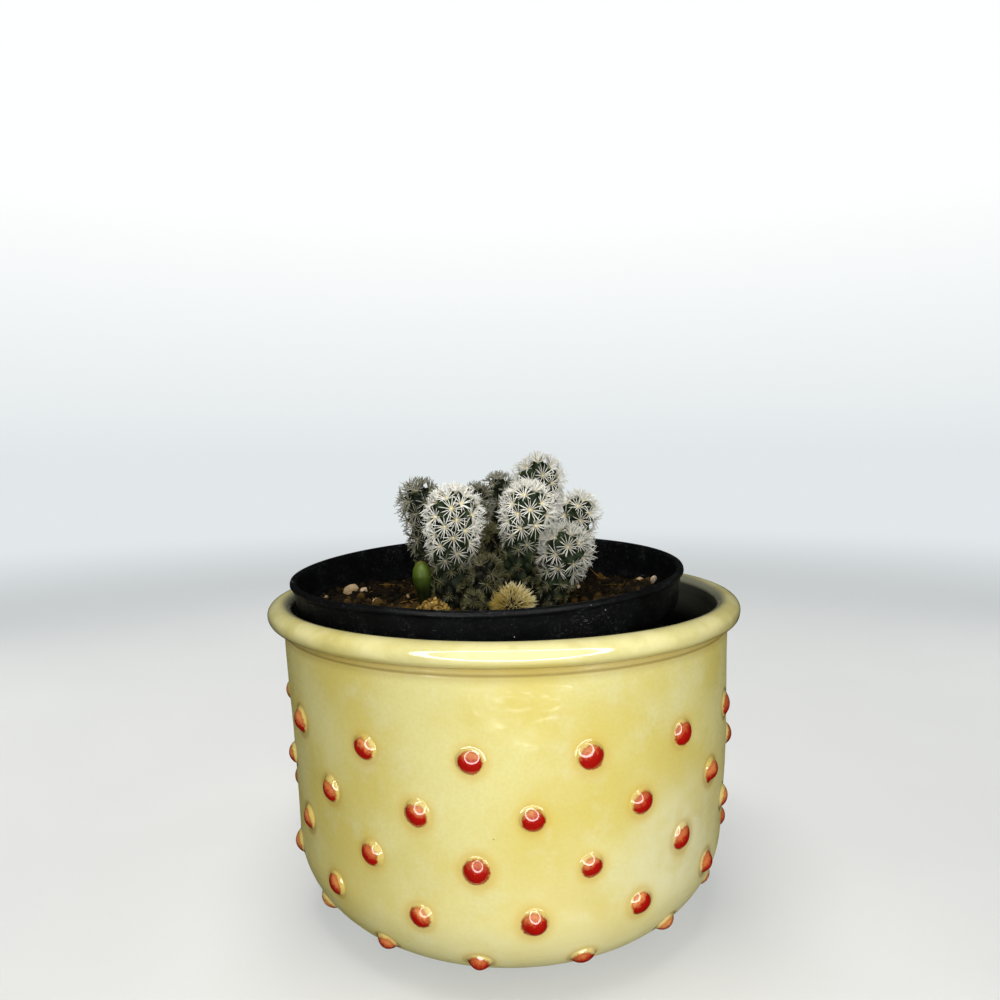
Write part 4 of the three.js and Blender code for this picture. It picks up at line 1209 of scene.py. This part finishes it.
def build_camera():
    data = bpy.data.cameras.new("camera")
    data.sensor_width = 36
    data.lens = CAMERA_LENS
    data.shift_x, data.shift_y = CAMERA_SHIFT
    camera = bpy.data.objects.new("camera", data)
    level = Matrix.Rotation(math.radians(90 - CAMERA_PITCH), 4, "X")
    roll = Matrix.Rotation(math.radians(CAMERA_ROLL), 4, "Z")
    camera.matrix_world = Matrix.Translation(Vector(CAMERA_PLACE) * MM) @ level @ roll
    bpy.context.scene.collection.objects.link(camera)
    bpy.context.scene.camera = camera


def finish_glow(name, strength):
    """Makes the newest object a glowing shape that is seen only in reflections."""
    nodes = Nodes(bpy.data.materials.new(name))
    nodes.tree.nodes.remove(nodes.tree.nodes["Principled BSDF"])
    lamp = nodes.add("Emission", {"Strength": strength})
    nodes.fill(nodes.tree.nodes["Material Output"], {"Surface": lamp.outputs[0]})
    shape = bpy.context.object
    shape.name = name
    shape.data.materials.append(bpy.data.materials[name])
    shape.visible_camera = shape.visible_diffuse = shape.visible_shadow = False


def build_ring_lamp():
    """A ring of light round the line of sight, with a faint disc inside it."""
    place = Vector(RING_CENTRE) * MM
    upright = (math.radians(90), 0, 0)
    bpy.ops.mesh.primitive_torus_add(major_segments=96, minor_segments=8,
                                     major_radius=RING_RADIUS * MM,
                                     minor_radius=RING_TUBE * MM,
                                     location=place, rotation=upright)
    finish_glow("ring_lamp", RING_STRENGTH)
    bpy.ops.mesh.primitive_circle_add(vertices=96, radius=RING_RADIUS * MM, fill_type="NGON",
                                      location=place, rotation=upright)
    finish_glow("ring_disc", DISC_STRENGTH)


def build_soft_lamp(name, place, size, power):
    data = bpy.data.lights.new(name, "AREA")
    data.shape = "DISK"
    data.size = size
    data.energy = power
    lamp = bpy.data.objects.new(name, data)
    lamp.visible_glossy = False
    lamp.location = Vector(place) * MM
    aim = Vector(LAMP_TARGET) - Vector(place)
    lamp.rotation_euler = aim.to_track_quat("-Z", "Y").to_euler()
    bpy.context.scene.collection.objects.link(lamp)


def build_world():
    """A pale room: white above and faintly grey at the height of the eye."""
    world = bpy.data.worlds.new("room")
    bpy.context.scene.world = world
    nodes = Nodes(world)
    height = nodes.split(nodes.add("TexCoord").outputs["Generated"])[2]
    ray = nodes.add("LightPath").outputs
    light = nodes.add("MapRange", {"Value": height, 1: -0.15, 2: 0.0,
                                   3: WORLD_BELOW, 4: WORLD_ABOVE})
    light = nodes.add("MapRange", {"Value": ray["Is Diffuse Ray"], 3: WORLD_IN_GLOSS,
                                   4: light.outputs[0]})
    light = nodes.add("MapRange", {"Value": ray["Is Camera Ray"], 3: light.outputs[0], 4: 1.0})
    colour = nodes.ramp(height, (0.0, HORIZON), (0.28, (254, 255, 255)))
    nodes.fill(nodes.tree.nodes["Background"], {"Color": colour, "Strength": light.outputs[0]})


def build_floor():
    """A plain pale floor that fades into the room far from the pot."""
    reach = FLOOR_REACH
    mesh = bpy.data.meshes.new("floor")
    corners = [(-reach, -reach, 0), (reach, -reach, 0), (reach, reach, 0), (-reach, reach, 0)]
    mesh.from_pydata(corners, [], [(0, 1, 2, 3)])
    paint = Paint("floor", (222, 220, 215))
    away = paint.add("VectorMath", {0: paint.place}, operation="LENGTH").outputs["Value"]
    glow = paint.add("Emission", {"Color": HORIZON, "Strength": 1.0})
    blend = paint.add("MixShader", {0: paint.between(away, 0.1, 1.2, 0.35, 1.0),
                                    1: paint.shader.outputs[0], 2: glow.outputs[0]})
    paint.fill(paint.tree.nodes["Material Output"], {"Surface": blend.outputs[0]})
    mesh.materials.append(paint.finish(Roughness=paint.patches((40, 3), 0.3, 0.7, 0.55, 0.7)))
    floor = bpy.data.objects.new("floor", mesh)
    bpy.context.scene.collection.objects.link(floor)
    floor.visible_diffuse = floor.visible_glossy = False


build_camera()
build_ring_lamp()
for lamp_name, lamp in LAMPS.items():
    build_soft_lamp(lamp_name, *lamp)
build_world()
build_floor()
bpy.context.scene.view_settings.view_transform = "Standard"

soil_paint = soil_material()
flesh_paint = flesh_material()
# The last colour is for old spines, and is also painted shade on heads deep in the clump.
white_spines = spine_material("white_spines", (242, 230, 184), (253, 252, 246),
                              (250, 250, 244), (82, 80, 48))
straw_spines = spine_material("straw_bristles", (66, 52, 12), (196, 172, 92),
                              (238, 228, 180), (150, 124, 36))
build_cachepot(glaze_material())
build_nursery_pot(plastic_material())
build_soil(soil_paint)
build_soil_bits(soil_paint)
for head_number, head_name in enumerate(HEADS):
    Head(head_name, head_number).build(flesh_paint, white_spines)
build_straw_offset(straw_spines, flesh_paint)
build_bud(bud_material())
build_crumbs(crumbs_material())
